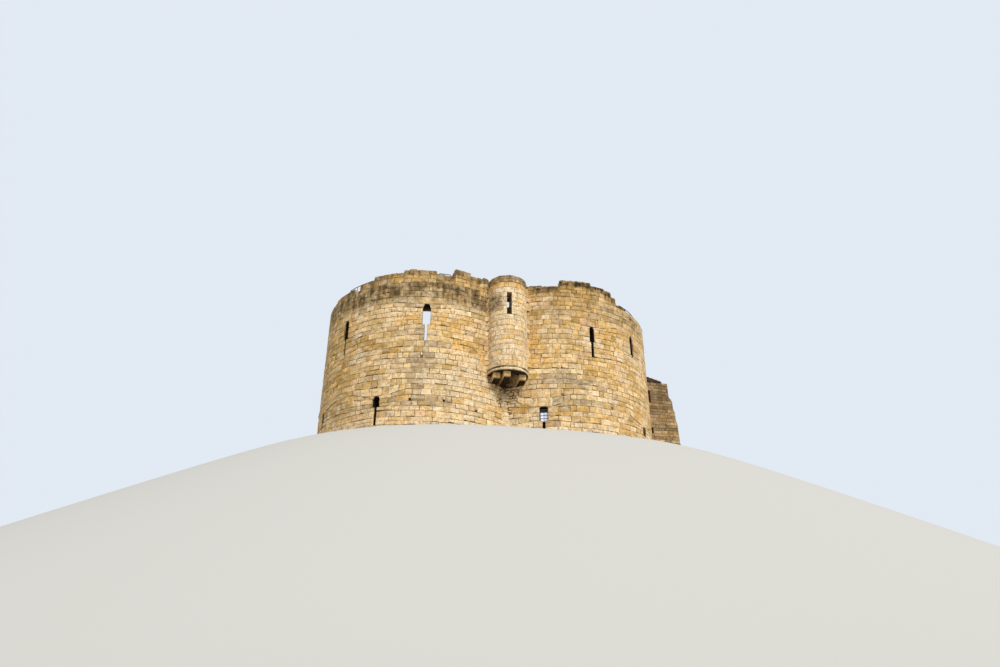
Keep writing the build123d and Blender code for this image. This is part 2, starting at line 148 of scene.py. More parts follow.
paving_mix = {"grey": 0.6, "cream": 0.25, "pale": 0.15, "brown": 0.1}
tile_mix = np.array([(0.115, 0.05, 0.035), (0.16, 0.07, 0.045), (0.08, 0.042, 0.035)])

Loop = namedtuple("Loop", "bearing width foot sill shoulder head")
Lobe = namedtuple("Lobe", "name x y turn diagonal")
Step = namedtuple("Step", "first last top")
Notch = namedtuple("Notch", "name turn set_back")
Band = namedtuple("Band", "low high half_low half_high")
Side = namedtuple("Side", "loops levels steps drains patches soot band parapet_soot")

# Wall thickness, foot and head of each storey, and the width and rise of its splays
storeys = ((lower_wall, floor_top, upper_storey, 1.1, 0.9), (upper_wall, upper_storey, wall_walk, 1.2, 0.75))
lobes = (
    Lobe("front_left", -1, -1, 1, -135),
    Lobe("front_right", 1, -1, 1, -45),
    Lobe("back_left", -1, 1, -1, -135),
    Lobe("back_right", 1, 1, -1, -45),
)
notches = (Notch("front", 0, 0), Notch("left", -90, side_set_back), Notch("back", 180, side_set_back))
slit_width = 0.15
window = Loop(-109.5, 0.47, 0.95, 1.60, 2.36, 2.42)
drain_size = 0.12
drain_rise = 0.14


def steps_of(bearings, tops):
    """Steps of a worn parapet, each from one bearing to the next."""
    return [Step(*step) for step in zip(bearings, bearings[1:], tops)]


# Openings, worn tops, drain holes (bearing, level), and patches of odd stones and of soot and
# painted shade (bearing, level, wide, tall, amount), by bearing about a lobe's centre
left_side = Side(
    loops=(
        Loop(-120.3, 0.42, 0.80, 1.84, 2.30, 2.47),
        Loop(-162.0, 0.35, 1.00, 1.84, 2.30, 2.46),
        Loop(-97.0, 0.45, 5.69, 6.69, 7.70, 7.99),
        Loop(-145.0, 0.42, 5.51, 6.47, 7.48, 7.70),
        Loop(-175.0, 0.38, 5.51, 6.47, 7.48, 7.76),
    ),
    levels=(0, plinth_top, parapet_line),
    steps=steps_of(
        (0, -65.4, -73.8, -82.6, -92.8, -110, -127.4, -137, -141.3, -159, -270),
        (10.36, 10.22, 10.42, 9.92, 10.19, 10.05, 9.77, 9.45, 9.68, 9.55),
    ),
    drains=((-103.1, 2.20), (-86.4, 2.15), (-69.2, 2.08), (-98.5, 4.72), (-136.0, 7.9)),
    patches={
        "ochre": (
            (-132.5, 5.9, 0.85, 0.22, 6), (-119, 5.2, 1.1, 0.22, 6), (-150, 4.5, 1.2, 2.5, 0.6),
        ),
        "golden": (
            (-105.5, 6.8, 0.6, 0.25, 2), (-114.5, 6.45, 0.5, 0.2, 2), (-86.5, 6.8, 0.8, 0.4, 2),
            (-74, 5.6, 1.1, 0.3, 3), (-64, 5.05, 0.5, 0.3, 4), (-108.5, 2.64, 1.0, 0.2, 2),
            (-152, 5.5, 1.6, 3.5, 1.3), (-54, 2.2, 0.35, 0.2, 4), (-190, 4.0, 2.0, 2.0, 0.8),
        ),
        "grey": (
            (-98, 3.8, 0.6, 1.2, 1.2), (-94, 4.8, 0.5, 0.3, 1.5), (-93.3, 5.75, 0.3, 0.2, 3),
            (-99, 2.15, 1.3, 0.22, 4),
        ),
        # Pale patches near the foot of the notch: partly the stones' own pale tone, partly painted light
        # against the shade of the crease and turret.
        "pale": (
            (-58, 1.4, 1.4, 0.7, 1.5), (-72, 3.4, 1.6, 1.4, 1.2),
        ),
    },
    soot=(
        # The patch at level 3.95, just under the front turret, is painted shade as well as soot, strong
        # enough to go near-black.
        (-66, 8.8, 1.1, 0.9, 0.6), (-63, 7.2, 0.5, 1.4, 0.35), (-49.5, 3.95, 0.6, 0.3, 1.9),
        (-143, 2.0, 1.0, 0.4, 0.45), (-130, 1.4, 0.9, 0.3, 0.35),
    ),
    band=1.35,
    parapet_soot=(0.3, 0.8),
)
right_side = Side(
    loops=(
        window,
        Loop(-44.6, 0.40, 1.20, 1.62, 2.04, 2.17),
        Loop(-81.8, 0.29, 5.57, 6.56, 7.40, 7.55),
        Loop(-51.9, 0.34, 6.38, 6.50, 7.62, 7.80),
    ),
    levels=(0, plinth_top, string_level, parapet_line),
    steps=steps_of(
        (-180, -112, -98.8, -81, -72, -67.1, -63.9, -55.4, -51, -28, 90),
        (10.14, 10.09, 10.50, 10.34, 10.25, 9.95, 9.55, 9.30, 9.32, 9.55),
    ),
    drains=((-99.5, 3.3), (-72.0, 2.6)),
    patches={
        "ochre": (
            (-115, 8.1, 0.6, 0.35, 1.5), (-92, 7.75, 0.8, 0.3, 2),
        ),
        "golden": (
            (-113, 6.6, 0.9, 0.8, 1.5), (-100, 8.4, 3.0, 0.9, 0.5), (-107, 9.1, 0.7, 0.25, 3),
            (-90, 9.1, 1.4, 0.3, 3), (-72, 6.9, 0.7, 1.2, 1.5), (-84, 5.2, 0.6, 0.3, 3),
            (-79, 4.6, 0.8, 0.35, 3), (-116, 5.5, 0.8, 0.5, 2), (-92.6, 2.25, 0.3, 0.15, 9),
            (-102.5, 1.94, 0.35, 0.15, 6), (-121, 2.35, 0.6, 0.3, 3), (-55, 3.5, 1.0, 2.2, 0.8),
            (-10, 5.0, 2.0, 2.5, 0.6),
        ),
        "grey": (
            (-102, 4.1, 1.0, 0.25, 4), (-94, 2.7, 0.9, 0.5, 4), (-87.5, 4.0, 0.6, 0.4, 2.5),
        ),
        # Pale patch near the foot of the notch: partly the stones' own pale tone, partly painted light
        # against the shade of the crease and turret.
        "pale": (
            (-126, 1.6, 1.2, 0.8, 1.5),
        ),
    },
    soot=(
        # The patch at level 3.95, just under the front turret, is painted shade as well as soot, strong
        # enough to go near-black.
        (-130.5, 3.95, 0.6, 0.3, 1.9), (-75, 7.9, 2.2, 0.9, 0.16), (-55, 8.7, 1.2, 0.5, 0.4),
    ),
    band=0.45,
    parapet_soot=(0.5, 1.6),
)
sides = {-1: left_side, 1: right_side}

# Moulding under a turret: share of its height, swell
roll_profile = (
    (0.0, 0.008), (0.08, 0.03), (0.25, 0.052), (0.42, 0.045), (0.55, 0.012), (0.62, 0.002),
    (0.76, 0.002), (0.82, 0.03), (0.9, 0.042), (1.0, 0.036),
)


# Faces that stones are laid on


class Round:
    """Upright round face: s along it from bearing 0, t up, h out of the stone."""

    def __init__(self, centre, radius, turn=1, hollow=False, start=0.0):
        self.centre = centre
        self.radius = radius
        self.turn = turn
        self.side = -1 if hollow else 1
        self.start = radians(start)

    def ring(self, s, reach, level):
        angle = self.start + s / self.radius
        x = self.centre[0] + reach * np.cos(angle)
        y = self.centre[1] + self.turn * reach * np.sin(angle)
        return np.stack([x, y, level], axis=-1)

    def place(self, s, t, h):
        return self.ring(s, self.radius + self.side * h, t)

    def along(self, bearing):
        return self.radius * radians(bearing)

    def about(self, middle, half):
        return self.along(middle - half), self.along(middle + half)


class Roll(Round):
    """Round face that swells and narrows with height, as a moulding does."""

    def place(self, s, t, h):
        share = (t - roll_foot) / (turret_foot - roll_foot)
        return super().place(s, t, h + np.interp(share, *zip(*roll_profile)))


class Level(Round):
    """Level ring between two radii: s along its middle, t out from the centre, h up."""

    def __init__(self, centre, inner, outer, level, turn=1, start=0.0, crown=0.0):
        super().__init__(centre, (inner + outer) / 2, turn, start=start)
        self.level = level
        self.crown = crown

    def place(self, s, t, h):
        dome = self.crown * (1 - ((t - self.radius) / crown_reach) ** 2)
        return self.ring(s, t, self.level + h + dome)


class Flat:
    """Flat face through a point: s along it, t up it, h out of it."""

    def __init__(self, origin, along, up=UP):
        self.origin = np.array(origin, float)
        self.s_way = np.array(along, float)
        self.t_way = np.array(up, float)
        self.out = np.cross(self.s_way, self.t_way)

    def place(self, s, t, h):
        s, t, h = s[..., None], t[..., None], h[..., None]
        return self.origin + s * self.s_way + t * self.t_way + h * self.out


class Stepped:
    """Upright front towards +X that steps back as it rises: s towards +Y, t up."""

    def place(self, s, t, h):
        return np.stack([np.interp(t, *zip(*gate_profile)) + h, s, t], axis=-1)


# Courses


class Light:
    """Opening in a face: s of its middle, and its bands from the foot up."""

    def __init__(self, middle, bands, bearing=0.2):
        self.middle = middle
        self.bands = bands
        self.keys = np.array([band.low for band in bands] + [bands[-1].high])
        self.reach = max(max(band.half_low, band.half_high) for band in bands) + 0.35
        self.lintel = bands[-1].half_high + bearing

    def settle(self, lines):
        """Bed joints that meet its levels, and how far each joint moves to do so."""
        self.marks = []
        for key in self.keys:
            least = self.marks[-1] + 1 if self.marks else 0
            self.marks.append(max(int(np.argmin(np.abs(lines - key))), least))
        levels = lines[self.marks]
        known = [levels[0] - fade_tall, *levels, levels[-1] + fade_tall]
        self.shift = np.interp(lines, known, [0, *(self.keys - levels), 0])

    def gap(self, course):
        """s of its left and right edges at the course's foot and head."""
        for band, low, high in zip(self.bands, self.marks, self.marks[1:]):
            if low <= course < high:
                growth = (band.half_high - band.half_low) / (high - low)
                foot = band.half_low + growth * (course - low)
                head = band.half_low + growth * (course + 1 - low)
                return (self.middle - foot, self.middle - head, self.middle + foot, self.middle + head)
        return None

    def span(self, course):
        """s of the ends of the stone over it, in the course where that lies."""
        if course == self.marks[-1]:
            return (self.middle - self.lintel, self.middle + self.lintel)
        return None


class Bedding:
    """Bed joints between fixed levels, led up or down beside each opening."""

    def __init__(self, levels, heights, rng, lights=(), sway=bed_sway):
        lines = [levels[0]]
        for low, high, height in zip(levels, levels[1:], heights):
            steps = rng.uniform(0.84, 1.16, max(1, round((high - low) / height)))
            lines.extend(low + (high - low) * np.cumsum(steps) / steps.sum())
        self.lines = np.array(lines)
        self.rng = rng
        self.lights = lights
        for light in lights:
            light.settle(self.lines)
        fixed = [np.abs(self.lines - level) < 1e-6 for level in levels]
        self.sway = np.where(np.any(fixed, axis=0), 0, sway)
        self.phase = rng.uniform(0, 2 * pi, len(lines))
        self.rate = rng.uniform(0.5, 1.1, len(lines))

    def level(self, k, s):
        t = self.lines[k] + self.sway[k] * np.sin(self.rate[k] * s + self.phase[k])
        for light in self.lights:
            away = np.clip((np.abs(s - light.middle) - light.reach) / fade_wide, 0, 1)
            t = t + light.shift[k] * (1 - away * away * (3 - 2 * away))
        return t

    def lay(self, limits, length, extra_gaps=()):
        """Corners of the stones of every course: foot left, foot right, head right, head left.

        The limits are the two ends of every course, or a function of its level.
        """
        corners = []
        below = np.array([])
        for k in range(len(self.lines) - 1):
            low, high = self.lines[k], self.lines[k + 1]
            first, last = limits((low + high) / 2) if callable(limits) else limits
            gaps = [light.gap(k) for light in self.lights]
            gaps += [(a, a, b, b) for a, b, level in extra_gaps if low <= level < high]
            gaps = sorted(g for g in gaps if g and g[0] > first and g[2] < last)
            spans = [light.span(k) for light in self.lights if light.span(k)]
            edges = [(first, first)]
            for left_foot, left_head, right_foot, right_head in gaps:
                edges += [(left_foot, left_head), (right_foot, right_head)]
            edges.append((last, last))
            joints = []
            for start, end in zip(edges[::2], edges[1::2]):
                if min(end) - max(start) < shortest:
                    continue
                foot, head = stone_run(start, end, length, self.rng, spans, below)
                joints.extend(foot)
                foot = np.stack([foot, self.level(k, foot)], -1)
                head = np.stack([head, self.level(k + 1, head)], -1)
                corners.append(np.stack([foot[:-1], foot[1:], head[1:], head[:-1]], 1))
            below = np.array(joints)
        return np.concatenate(corners)


def stone_run(start, end, length, rng, spans, below):
    """Joints across one run of a course, kept off the joints below it."""
    low, high = max(start), min(end)
    steps = rng.uniform(0.5, 1.5, max(1, round((high - low) / length)))
    cuts = low + (high - low) * np.cumsum(steps)[:-1] / steps.sum()
    if len(below) and len(cuts):
        nearest = np.abs(cuts[:, None] - below[None, :]).min(axis=1)
        cuts = np.where(nearest < joint_clear, cuts + joint_shift, cuts)
    for left, right in spans:
        cuts = cuts[(cuts < left - lintel_clear) | (cuts > right + lintel_clear)]
        cuts = np.append(cuts, [s for s in (left, right) if low + lintel_clear < s < high - lintel_clear])
    cuts = np.sort(cuts)
    if len(cuts):
        keep = np.append(np.diff(cuts) > least_gap, True)
        cuts = cuts[keep & (cuts > low + end_clear) & (cuts < high - end_clear)]
    foot = np.concatenate([[start[0]], cuts, [end[0]]])
    head = np.concatenate([[start[1]], cuts, [end[1]]])
    return foot, head


def stone_between(ends, foot, head):
    """Corners of one stone between two ends, from the levels of its foot and head there."""
    return np.array([[*zip(ends, foot), *list(zip(ends, head))[::-1]]])


def block(left, right, foot, head):
    """Corners of one stone with a level foot and head."""
    return stone_between((left, right), (foot, foot), (head, head))


def middles(corners):
    return corners.mean(axis=1).T


def blots(patches, s, t, face, amount=0):
    """Amount at some places on a round face, to which each soft patch adds its own."""
    for bearing, level, wide, tall, most in patches:
        far = ((s - face.along(bearing)) / wide) ** 2 + ((t - level) / tall) ** 2
        amount = amount + most * np.exp(-far)
    return amount


def colours_of(mix, rng, count, spread=0.62):
    """One colour for each stone: drawn from a mix of kinds, with one share or one for each stone."""
    weights = np.zeros((count, len(palette)))
    for kind, amount in mix.items():
        weights[:, kinds[kind]] = amount
    weights /= weights.sum(axis=1, keepdims=True)
    chances = np.cumsum(weights, axis=1)
    pick = (rng.random(count)[:, None] > chances[:, :-1]).sum(axis=1)
    colour = spread * palette[pick] + (1 - spread) * weights @ palette
    tone = rng.normal(1, 0.12, (count, 1)) * rng.normal(1, 0.008, (count, 3))
    return no_brighter(np.maximum(colour * tone, 0.01))


def no_brighter(colour):
    """Colours held under a limit without a change of hue."""
    return colour / np.maximum(colour.max(axis=1, keepdims=True) / brightest, 1)


def blend(colour, other, share):
    """Colours moved towards another by a share that each stone has of its own."""
    share = share[:, None]
    return colour * (1 - share) + share * np.array(other)


def faded(value, start, length, most=1):
    """Grows from 0 at the start to 1 after the length; before the start if that is negative."""
    return np.clip((value - start) / length, 0, most)


# Near-black sheets of painted shade, for voids.
def black(count):
    return np.tile(HOLE_SHADE, (count, 1))


# Meshes


class Masonry:
    """Gathers stones laid on several faces into one piece."""

    def __init__(self, name, seed):
        self.name = name
        self.rng = np.random.default_rng(seed)
        self.points, self.faces, self.colours, self.weather_and_shade_layers = [], [], [], []
        self.count = 0

    def cover(self, face, levels, height, limits, length, mix, stand, *how,
              sway=bed_sway, lights=(), **more):
        """Lays, colours and adds the courses between some levels."""
        corners = Bedding(levels, [height], self.rng, lights, sway).lay(limits, length)
        colour = colours_of(mix, self.rng, len(corners))
        self.add(face, corners, colour, stand(corners) if callable(stand) else stand, *how, **more)

    def add(self, surface, corners, colour, stand=proud, rough=1.0, weather_and_shade=0.0,
            columns=3, rows=2, tilt=0.0, gap=joint, bevel=arris, depth=bedded):
        """One block for each stone: a back ring, an edge ring and a dressed front grid."""
        rng = self.rng
        count = len(corners)
        stand, rough, gap = (np.broadcast_to(value, count)[:, None] for value in (stand, rough, gap))
        across, up = columns + 1, rows + 1
        grid_u = np.tile(np.linspace(0, 1, across), up)
        grid_v = np.repeat(np.linspace(0, 1, up), across)
        rim = [*range(across), *(j * across + columns for j in range(1, up))]
        rim += [*(rows * across + i for i in reversed(range(columns)))]
        rim += [*(j * across for j in range(rows - 1, 0, -1))]
        foot_left, foot_right, head_right, head_left = np.moveaxis(corners, 1, 0)
        wide = (foot_right + head_right - foot_left - head_left)[:, :1] / 2
        tall = (head_right + head_left - foot_left - foot_right)[:, 1:] / 2

        def spread(inset, u, v):
            a = np.minimum(inset / np.maximum(wide, 0.01), 0.4)
            b = np.minimum(inset / np.maximum(tall, 0.01), 0.4)
            u, v = a + u * (1 - 2 * a), b + v * (1 - 2 * b)
            share = np.stack([(1 - u) * (1 - v), u * (1 - v), u * v, (1 - u) * v], -1)
            return np.einsum("nmc,ncd->nmd", share, corners)

        wobble = rng.normal(0, edge_wobble, (count, len(grid_u), 2)) * rough[:, :, None]
        edge = spread(gap / 2, grid_u[rim], grid_v[rim]) + wobble[:, rim]
        front = spread(gap / 2 + bevel, grid_u, grid_v) + wobble
        lift = tilt * (1 - grid_v)
        high = stand + lift + rng.normal(0, face_wobble, (count, len(grid_u))) * rough
        chipped = rng.random((count, len(grid_u))) < chipped_share * rough
        high = np.maximum(np.where(chipped, high - chip_depth * rough, high), least_stand)
        edge_high = np.maximum((stand + lift[rim]) - 0.8 * bevel, 0.001)
        s, t = np.moveaxis(np.concatenate([edge, edge, front], axis=1), 2, 0)
        h = np.concatenate([np.full_like(edge_high, -depth), edge_high, high], axis=1)
        points = surface.place(s, t, h).reshape(-1, 3)

        ring = len(rim)
        per = 2 * ring + len(grid_u)
        quads = []
        for p in range(ring):
            q = (p + 1) % ring
            quads.append((p, q, ring + q, ring + p))
            quads.append((ring + p, ring + q, 2 * ring + rim[q], 2 * ring + rim[p]))
        for j in range(rows):
            for i in range(columns):
                a = 2 * ring + j * across + i
                quads.append((a, a + 1, a + 1 + across, a + across))
        quads = np.array(quads)
        if self.left_handed(surface, s[0, 0], t[0, 0]):
            quads = quads[:, ::-1]
        faces = quads[None] + (self.count + per * np.arange(count))[:, None, None]

        soot = weather_and_shade(s, t) if callable(weather_and_shade) else np.full((count, per), weather_and_shade)
        dirt = np.broadcast_to(np.arange(per) < 2 * ring, (count, per))
        shade = np.stack([soot, dirt, 0 * soot, 0 * soot + 1], -1)
        self.points.append(points)
        self.faces.append(faces.reshape(-1, 4))
        self.colours.append(np.repeat(np.concatenate([colour, np.ones((count, 1))], 1), per, axis=0))
        self.weather_and_shade_layers.append(shade.reshape(-1, 4))
        self.count += len(points)

    @staticmethod
    def left_handed(surface, s, t):
        s, t, h = np.array([s, t, 0])[:, None] + 0.01 * np.eye(3, 4, 1)
        at = surface.place(s, t, h)
        return np.linalg.det(at[1:] - at[0]) < 0

    def finish(self, material):
        """Makes the piece and hands it to the frame."""
        points = np.concatenate(self.points)
        faces = np.concatenate(self.faces)
        mesh = bpy.data.meshes.new(self.name)
        mesh.vertices.add(len(points))
        mesh.vertices.foreach_set("co", points.astype(np.float32).ravel())
        mesh.loops.add(faces.size)
        mesh.loops.foreach_set("vertex_index", faces.astype(np.int32).ravel())
        mesh.polygons.add(len(faces))
        mesh.polygons.foreach_set("loop_start", np.arange(0, faces.size, 4, dtype=np.int32))
        for layer, values in (("stone", self.colours), ("weather_and_shade", self.weather_and_shade_layers)):
            attribute = mesh.color_attributes.new(layer, "FLOAT_COLOR", "POINT")
            attribute.data.foreach_set("color", np.concatenate(values).astype(np.float32).ravel())
        mesh.update(calc_edges=True)
        mesh.validate()
        mesh.shade_smooth()
        mesh.set_sharp_from_angle(angle=radians(32))
        mesh.materials.append(material)
        piece = placed(self.name, mesh)
        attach(piece, "root")


def placed(name, data):
    """A new object in the scene."""
    item = bpy.data.objects.new(name, data)
    bpy.context.scene.collection.objects.link(item)
    return item


# Finishes


class Nodes:
    """Short calls for the nodes of a tree."""

    def __init__(self, tree):
        self.tree = tree

    def node(self, kind, *values, **settings):
        """A new node, with its first inputs linked or set in order."""
        node = self.tree.nodes.new("ShaderNode" + kind)
        for key, value in settings.items():
            setattr(node, key, value)
        for value, socket in zip(values, node.inputs):
            self.put(value, socket)
        return node

    def put(self, value, socket):
        """Links a socket, or sets a plain value."""
        if isinstance(value, bpy.types.NodeSocket):
            self.tree.links.new(value, socket)
        else:
            socket.default_value = value

    def maths(self, operation, first, second=0.0):
        return self.node("Math", first, second, operation=operation).outputs[0]


class Finish(Nodes):
    """A material, with short calls for what the finishes share."""

    def __init__(self, name, roughness=0.9, specular=0.2, metallic=0.0):
        self.material = bpy.data.materials.new(name)
        self.material.use_nodes = True
        super().__init__(self.material.node_tree)
        self.shader = self.tree.nodes["Principled BSDF"].inputs
        self.shader["Roughness"].default_value = roughness
        self.shader["Specular IOR Level"].default_value = specular
        self.shader["Metallic"].default_value = metallic
        self.place = self.node("TexCoord").outputs["Object"]

    def stretch(self, value, low, high, to_low=0.0, to_high=1.0):
        return self.node("MapRange", value, low, high, to_low, to_high).outputs[0]

    def noise(self, scale, detail=4.0, roughness=0.55, place=None):
        node = self.node("TexNoise", place or self.place)
        node.inputs["Scale"].default_value = scale
        node.inputs["Detail"].default_value = detail
        node.inputs["Roughness"].default_value = roughness
        return node.outputs["Fac"]

    def stretched(self, scale):
        """Place with each axis scaled, for stains that run along or down."""
        node = self.node("Mapping", self.place)
        node.inputs["Scale"].default_value = scale
        return node.outputs[0]

    def times(self, first, *others):
        """Product of sockets and numbers."""
        for other in others:
            first = self.maths("MULTIPLY", first, other)
        return first

    def mix(self, share, first, second):
        node = self.node("Mix", share, data_type="RGBA")
        for value, socket in zip((first, second), node.inputs[6:]):
            self.put((*value, 1) if isinstance(value, tuple) else value, socket)
        return node.outputs[2]

    def scaled(self, colour, amount):
        """A colour times a number."""
        node = self.node("VectorMath", colour, operation="SCALE")
        self.put(amount, node.inputs["Scale"])
        return node.outputs[0]

    def layer(self, name):
        return self.node("Attribute", attribute_name=name).outputs["Color"]

    def bump(self, height, distance, strength):
        node = self.node("Bump")
        for key, value in (("Height", height), ("Distance", distance), ("Strength", strength)):
            self.put(value, node.inputs[key])
        self.put(node.outputs[0], self.shader["Normal"])

    def colour(self, value):
        self.put(value, self.shader["Base Color"])


def stone_finish(name, soot_colour=(0.17, 0.108, 0.042), dirt=0.9, stains=1.0):
    """Weathered stone: each block's own colour, mottled, stained, pitted and sooted; where the sooting runs
    high it is painted near-black shade.
    """
    f = Finish(name)
    soot, rim = f.node("SeparateColor", f.layer("weather_and_shade")).outputs[:2]
    bed = f.stretched((1.0, 1.0, 2.2))
    mottle = f.stretch(f.noise(4.5, 6.0, 0.65), 0.38, 0.62, 0.70, 1.18)
    speckle = f.stretch(f.noise(14.0, 4.0, 0.7), 0.38, 0.62, 0.70, 1.18)
    colour = f.scaled(f.scaled(f.layer("stone"), mottle), speckle)
    for noise, low, high, most, tint in (
        ((2.3, 5.0, 0.7), 0.5, 0.6, 0.5, (0.90, 0.73, 0.50)),
        ((0.8, 6.0, 0.7), 0.53, 0.62, 0.6, (0.52, 0.31, 0.08)),
        ((2.9, 5.0, 0.65), 0.54, 0.62, 0.55, (0.60, 0.37, 0.11)),
    ):
        stain = f.stretch(f.noise(*noise, bed), low, high, 0.0, most * stains)
        colour = f.mix(stain, colour, tint)
    cells = f.node("TexVoronoi", f.place)
    cells.inputs["Scale"].default_value = 13.0
    pits = f.stretch(cells.outputs["Distance"], 0.06, 0.2, 0.35, 1.0)
    speck = f.stretch(f.noise(5.0, 3.0), 0.5, 0.6, 1.0, 0.0)
    colour = f.scaled(colour, f.maths("MAXIMUM", pits, speck))
    cloud = f.stretch(f.noise(1.9, 6.0, 0.75), 0.4, 0.6, 0.35, 1.3)
    drip = f.stretch(f.noise(1.0, 4.0, 0.6, f.stretched((4.0, 4.0, 0.5))), 0.4, 0.6, 0.6, 1.15)
    streak = f.times(soot, cloud, drip)
    colour = f.mix(f.stretch(streak, 0.0, 1.0, 0.0, 0.92), colour, soot_colour)
    # Painted shade: where the first channel runs over 1, under the turrets and in the rolls' hollows, the
    # stone goes near-black.
    colour = f.mix(f.stretch(streak, 1.0, 1.9, 0.0, 0.93), colour, (0.022, 0.015, 0.009))
    patchy = f.stretch(f.noise(3.2, 5.0, 0.7), 0.42, 0.58, 0.05, 1.3)
    colour = f.mix(f.times(rim, dirt, patchy), colour, (0.17, 0.115, 0.06))
    f.colour(colour)
    f.bump(f.maths("ADD", f.noise(14.0, 6.0, 0.65), f.times(f.noise(70.0, 3.0), 0.35)), 0.025, 0.9)
    return f.material


def core_finish(name, tone=1.0):
    """Walling behind the facing, seen in joints, reveals and passages; painted black shade inside the loops.
    """
    f = Finish(name)
    x, y, z = f.node("SeparateXYZ", f.place).outputs
    slant = f.maths("ADD", f.times(x, 0.8), f.times(y, 0.8))
    bricks = f.node("TexBrick", f.node("CombineXYZ", slant, z).outputs[0])
    for key, value in (
        ("Color1", (0.50 * tone, 0.37 * tone, 0.21 * tone, 1)),
        ("Color2", (0.40 * tone, 0.29 * tone, 0.16 * tone, 1)),
        ("Mortar", (0.24 * tone, 0.17 * tone, 0.09 * tone, 1)),
        ("Scale", 1.0), ("Mortar Size", 0.012), ("Brick Width", 0.52), ("Row Height", 0.28),
    ):
        bricks.inputs[key].default_value = value
    mottle = f.stretch(f.noise(7.0, 6.0, 0.65), 0.3, 0.7, 0.7, 1.15)
    sides_off = [f.maths("ABSOLUTE", axis) for axis in (x, y)]
    away = [f.maths("ABSOLUTE", f.maths("SUBTRACT", side, lobe_offset)) for side in sides_off]
    reach = f.maths("SQRT", f.maths("ADD", *(f.maths("POWER", side, 2.0) for side in away)))
    # Painted shade: the core goes near-black in the loops, 5.0 to 6.2 m from a lobe's centre, more than 1.2
    # m off y = 0 and below the wall walk.
    deep = f.times(f.stretch(reach, 4.93, 5.0), f.stretch(reach, 6.2, 6.235, 1.0, 0.0))
    aside = f.stretch(f.maths("ABSOLUTE", y), 1.15, 1.25)
    below = f.stretch(z, wall_walk - 0.3, wall_walk - 0.1, 0.96, 0.0)
    painted_shade = f.maths("SUBTRACT", 1.0, f.times(deep, aside, below))
    f.colour(f.scaled(bricks.outputs["Color"], f.times(mottle, painted_shade)))
    f.bump(f.maths("ADD", f.noise(18.0, 6.0), f.times(bricks.outputs["Fac"], -0.5)), 0.02, 0.8)
    return f.material


def corbel_finish(name):
    """Corbels and the ring on them, near-black on every underside: painted shade, and sooting."""
    f = Finish(name)
    mottle = f.stretch(f.noise(6.0, 6.0, 0.7), 0.3, 0.7, 0.55, 1.2)
    facing = f.node("SeparateXYZ", f.node("NewGeometry").outputs["Normal"])
    # Painted shade: faces that look downwards go near-black, for the shade under the corbels and the soot on
    # them.
    under = f.stretch(facing.outputs[2], -0.85, -0.45, 1.0, 0.0)
    f.colour(f.mix(under, f.scaled(f.mix(0.5, GOLDEN, CREAM), mottle), (0.02, 0.014, 0.009)))
    f.bump(f.noise(18.0, 6.0), 0.02, 0.8)
    return f.material


def metal_finish(name, colour, roughness):
    """Painted metal, paler where it is worn."""
    f = Finish(name, roughness, 0.4, 0.2)
    wear = f.stretch(f.noise(22.0, 5.0), 0.45, 0.75, 0.0, 0.6)
    f.colour(f.mix(wear, colour, tuple(2.2 * c + 0.02 for c in colour)))
    f.bump(f.noise(60.0, 3.0), 0.002, 0.5)
    return f.material


def glass_finish(name):
    """Dusty panes, whose pale blue-white colour and glow are a painted reflection of the bright sky."""
    f = Finish(name, 0.12, 0.6)
    dust = f.stretch(f.noise(6.0, 4.0), 0.3, 0.7, 0.8, 1.05)
    # Painted reflection: the pale blue-white colour and the glow below stand for the sky mirrored in the
    # panes.
    f.colour(f.scaled((0.86, 0.90, 0.96), dust))
    f.shader["Emission Color"].default_value = (0.78, 0.84, 1.0, 1)
    f.shader["Emission Strength"].default_value = 0.4
    return f.material


def stage_finish(name):
    """Pale plain floor."""
    f = Finish(name, 0.95, 0.1)
    f.colour((0.60, 0.60, 0.58, 1))
    return f.material


# Laying the tower


def lobe_centre(lobe):
    return (lobe.x * lobe_offset, lobe.y * lobe_offset)


def lobe_face(lobe, depth=0):
    """A lobe's outer face, or the face of its hollow at a depth."""
    return Round(lobe_centre(lobe), lobe_radius - depth, lobe.turn, hollow=depth > 0)


def outward(lobe, bearing):
    """Level direction out of a lobe at a bearing."""
    angle = radians(bearing)
    return np.array([cos(angle), lobe.turn * sin(angle), 0])


def upright(origin, out):
    """Flat upright face through a point, looking out."""
    return Flat(origin, np.cross(UP, out))


def straight(middle, low, high, half, bearing):
    """Opening of one width."""
    return Light(middle, (Band(low, high, half, half),), bearing)


def loop_light(face, loop):
    half = loop.width / 2
    bands = (
        Band(loop.foot, loop.sill, slit_width / 2, slit_width / 2),
        Band(loop.sill, loop.shoulder, half, half),
        Band(loop.shoulder, loop.head, half, half / 2),
    )
    return Light(face.along(loop.bearing), bands)


def tidy_mouth(face, loop, thickness, mouth_width, mouth_rise):
    """Where a loop's splay meets the inner face, as one upright opening."""
    reveal, over, drop = 0.45, 0.4, 0.25
    share = (thickness - reveal) / (thickness + over - reveal)
    half = (loop.width + share * (mouth_width - loop.width)) / 2
    foot, head = loop.foot - share * drop, loop.head + share * mouth_rise
    return straight(face.along(loop.bearing), foot, head, half, 0.15)


def doorway(foot, half, crown_half, bearing):
    """Doorway with a pointed arch over its springing."""
    crown = gate_door_spring + sqrt(3) * half
    bands = (Band(foot, gate_door_spring, half, half), Band(gate_door_spring, crown, half, crown_half))
    return Light(0, bands, bearing)


def turret_meets(reach):
    """Where a turret meets a lobe: bearing about the lobe from the notch, and about the turret."""
    arm = hypot(lobe_offset, reach - lobe_offset)
    cut = acos((lobe_radius**2 + arm**2 - turret_radius**2) / (2 * lobe_radius * arm))
    way = atan2(reach - lobe_offset, lobe_offset) + cut
    across, back = lobe_offset - lobe_radius * cos(way), reach - lobe_offset - lobe_radius * sin(way)
    return degrees(way), 90 + degrees(atan2(back, across))


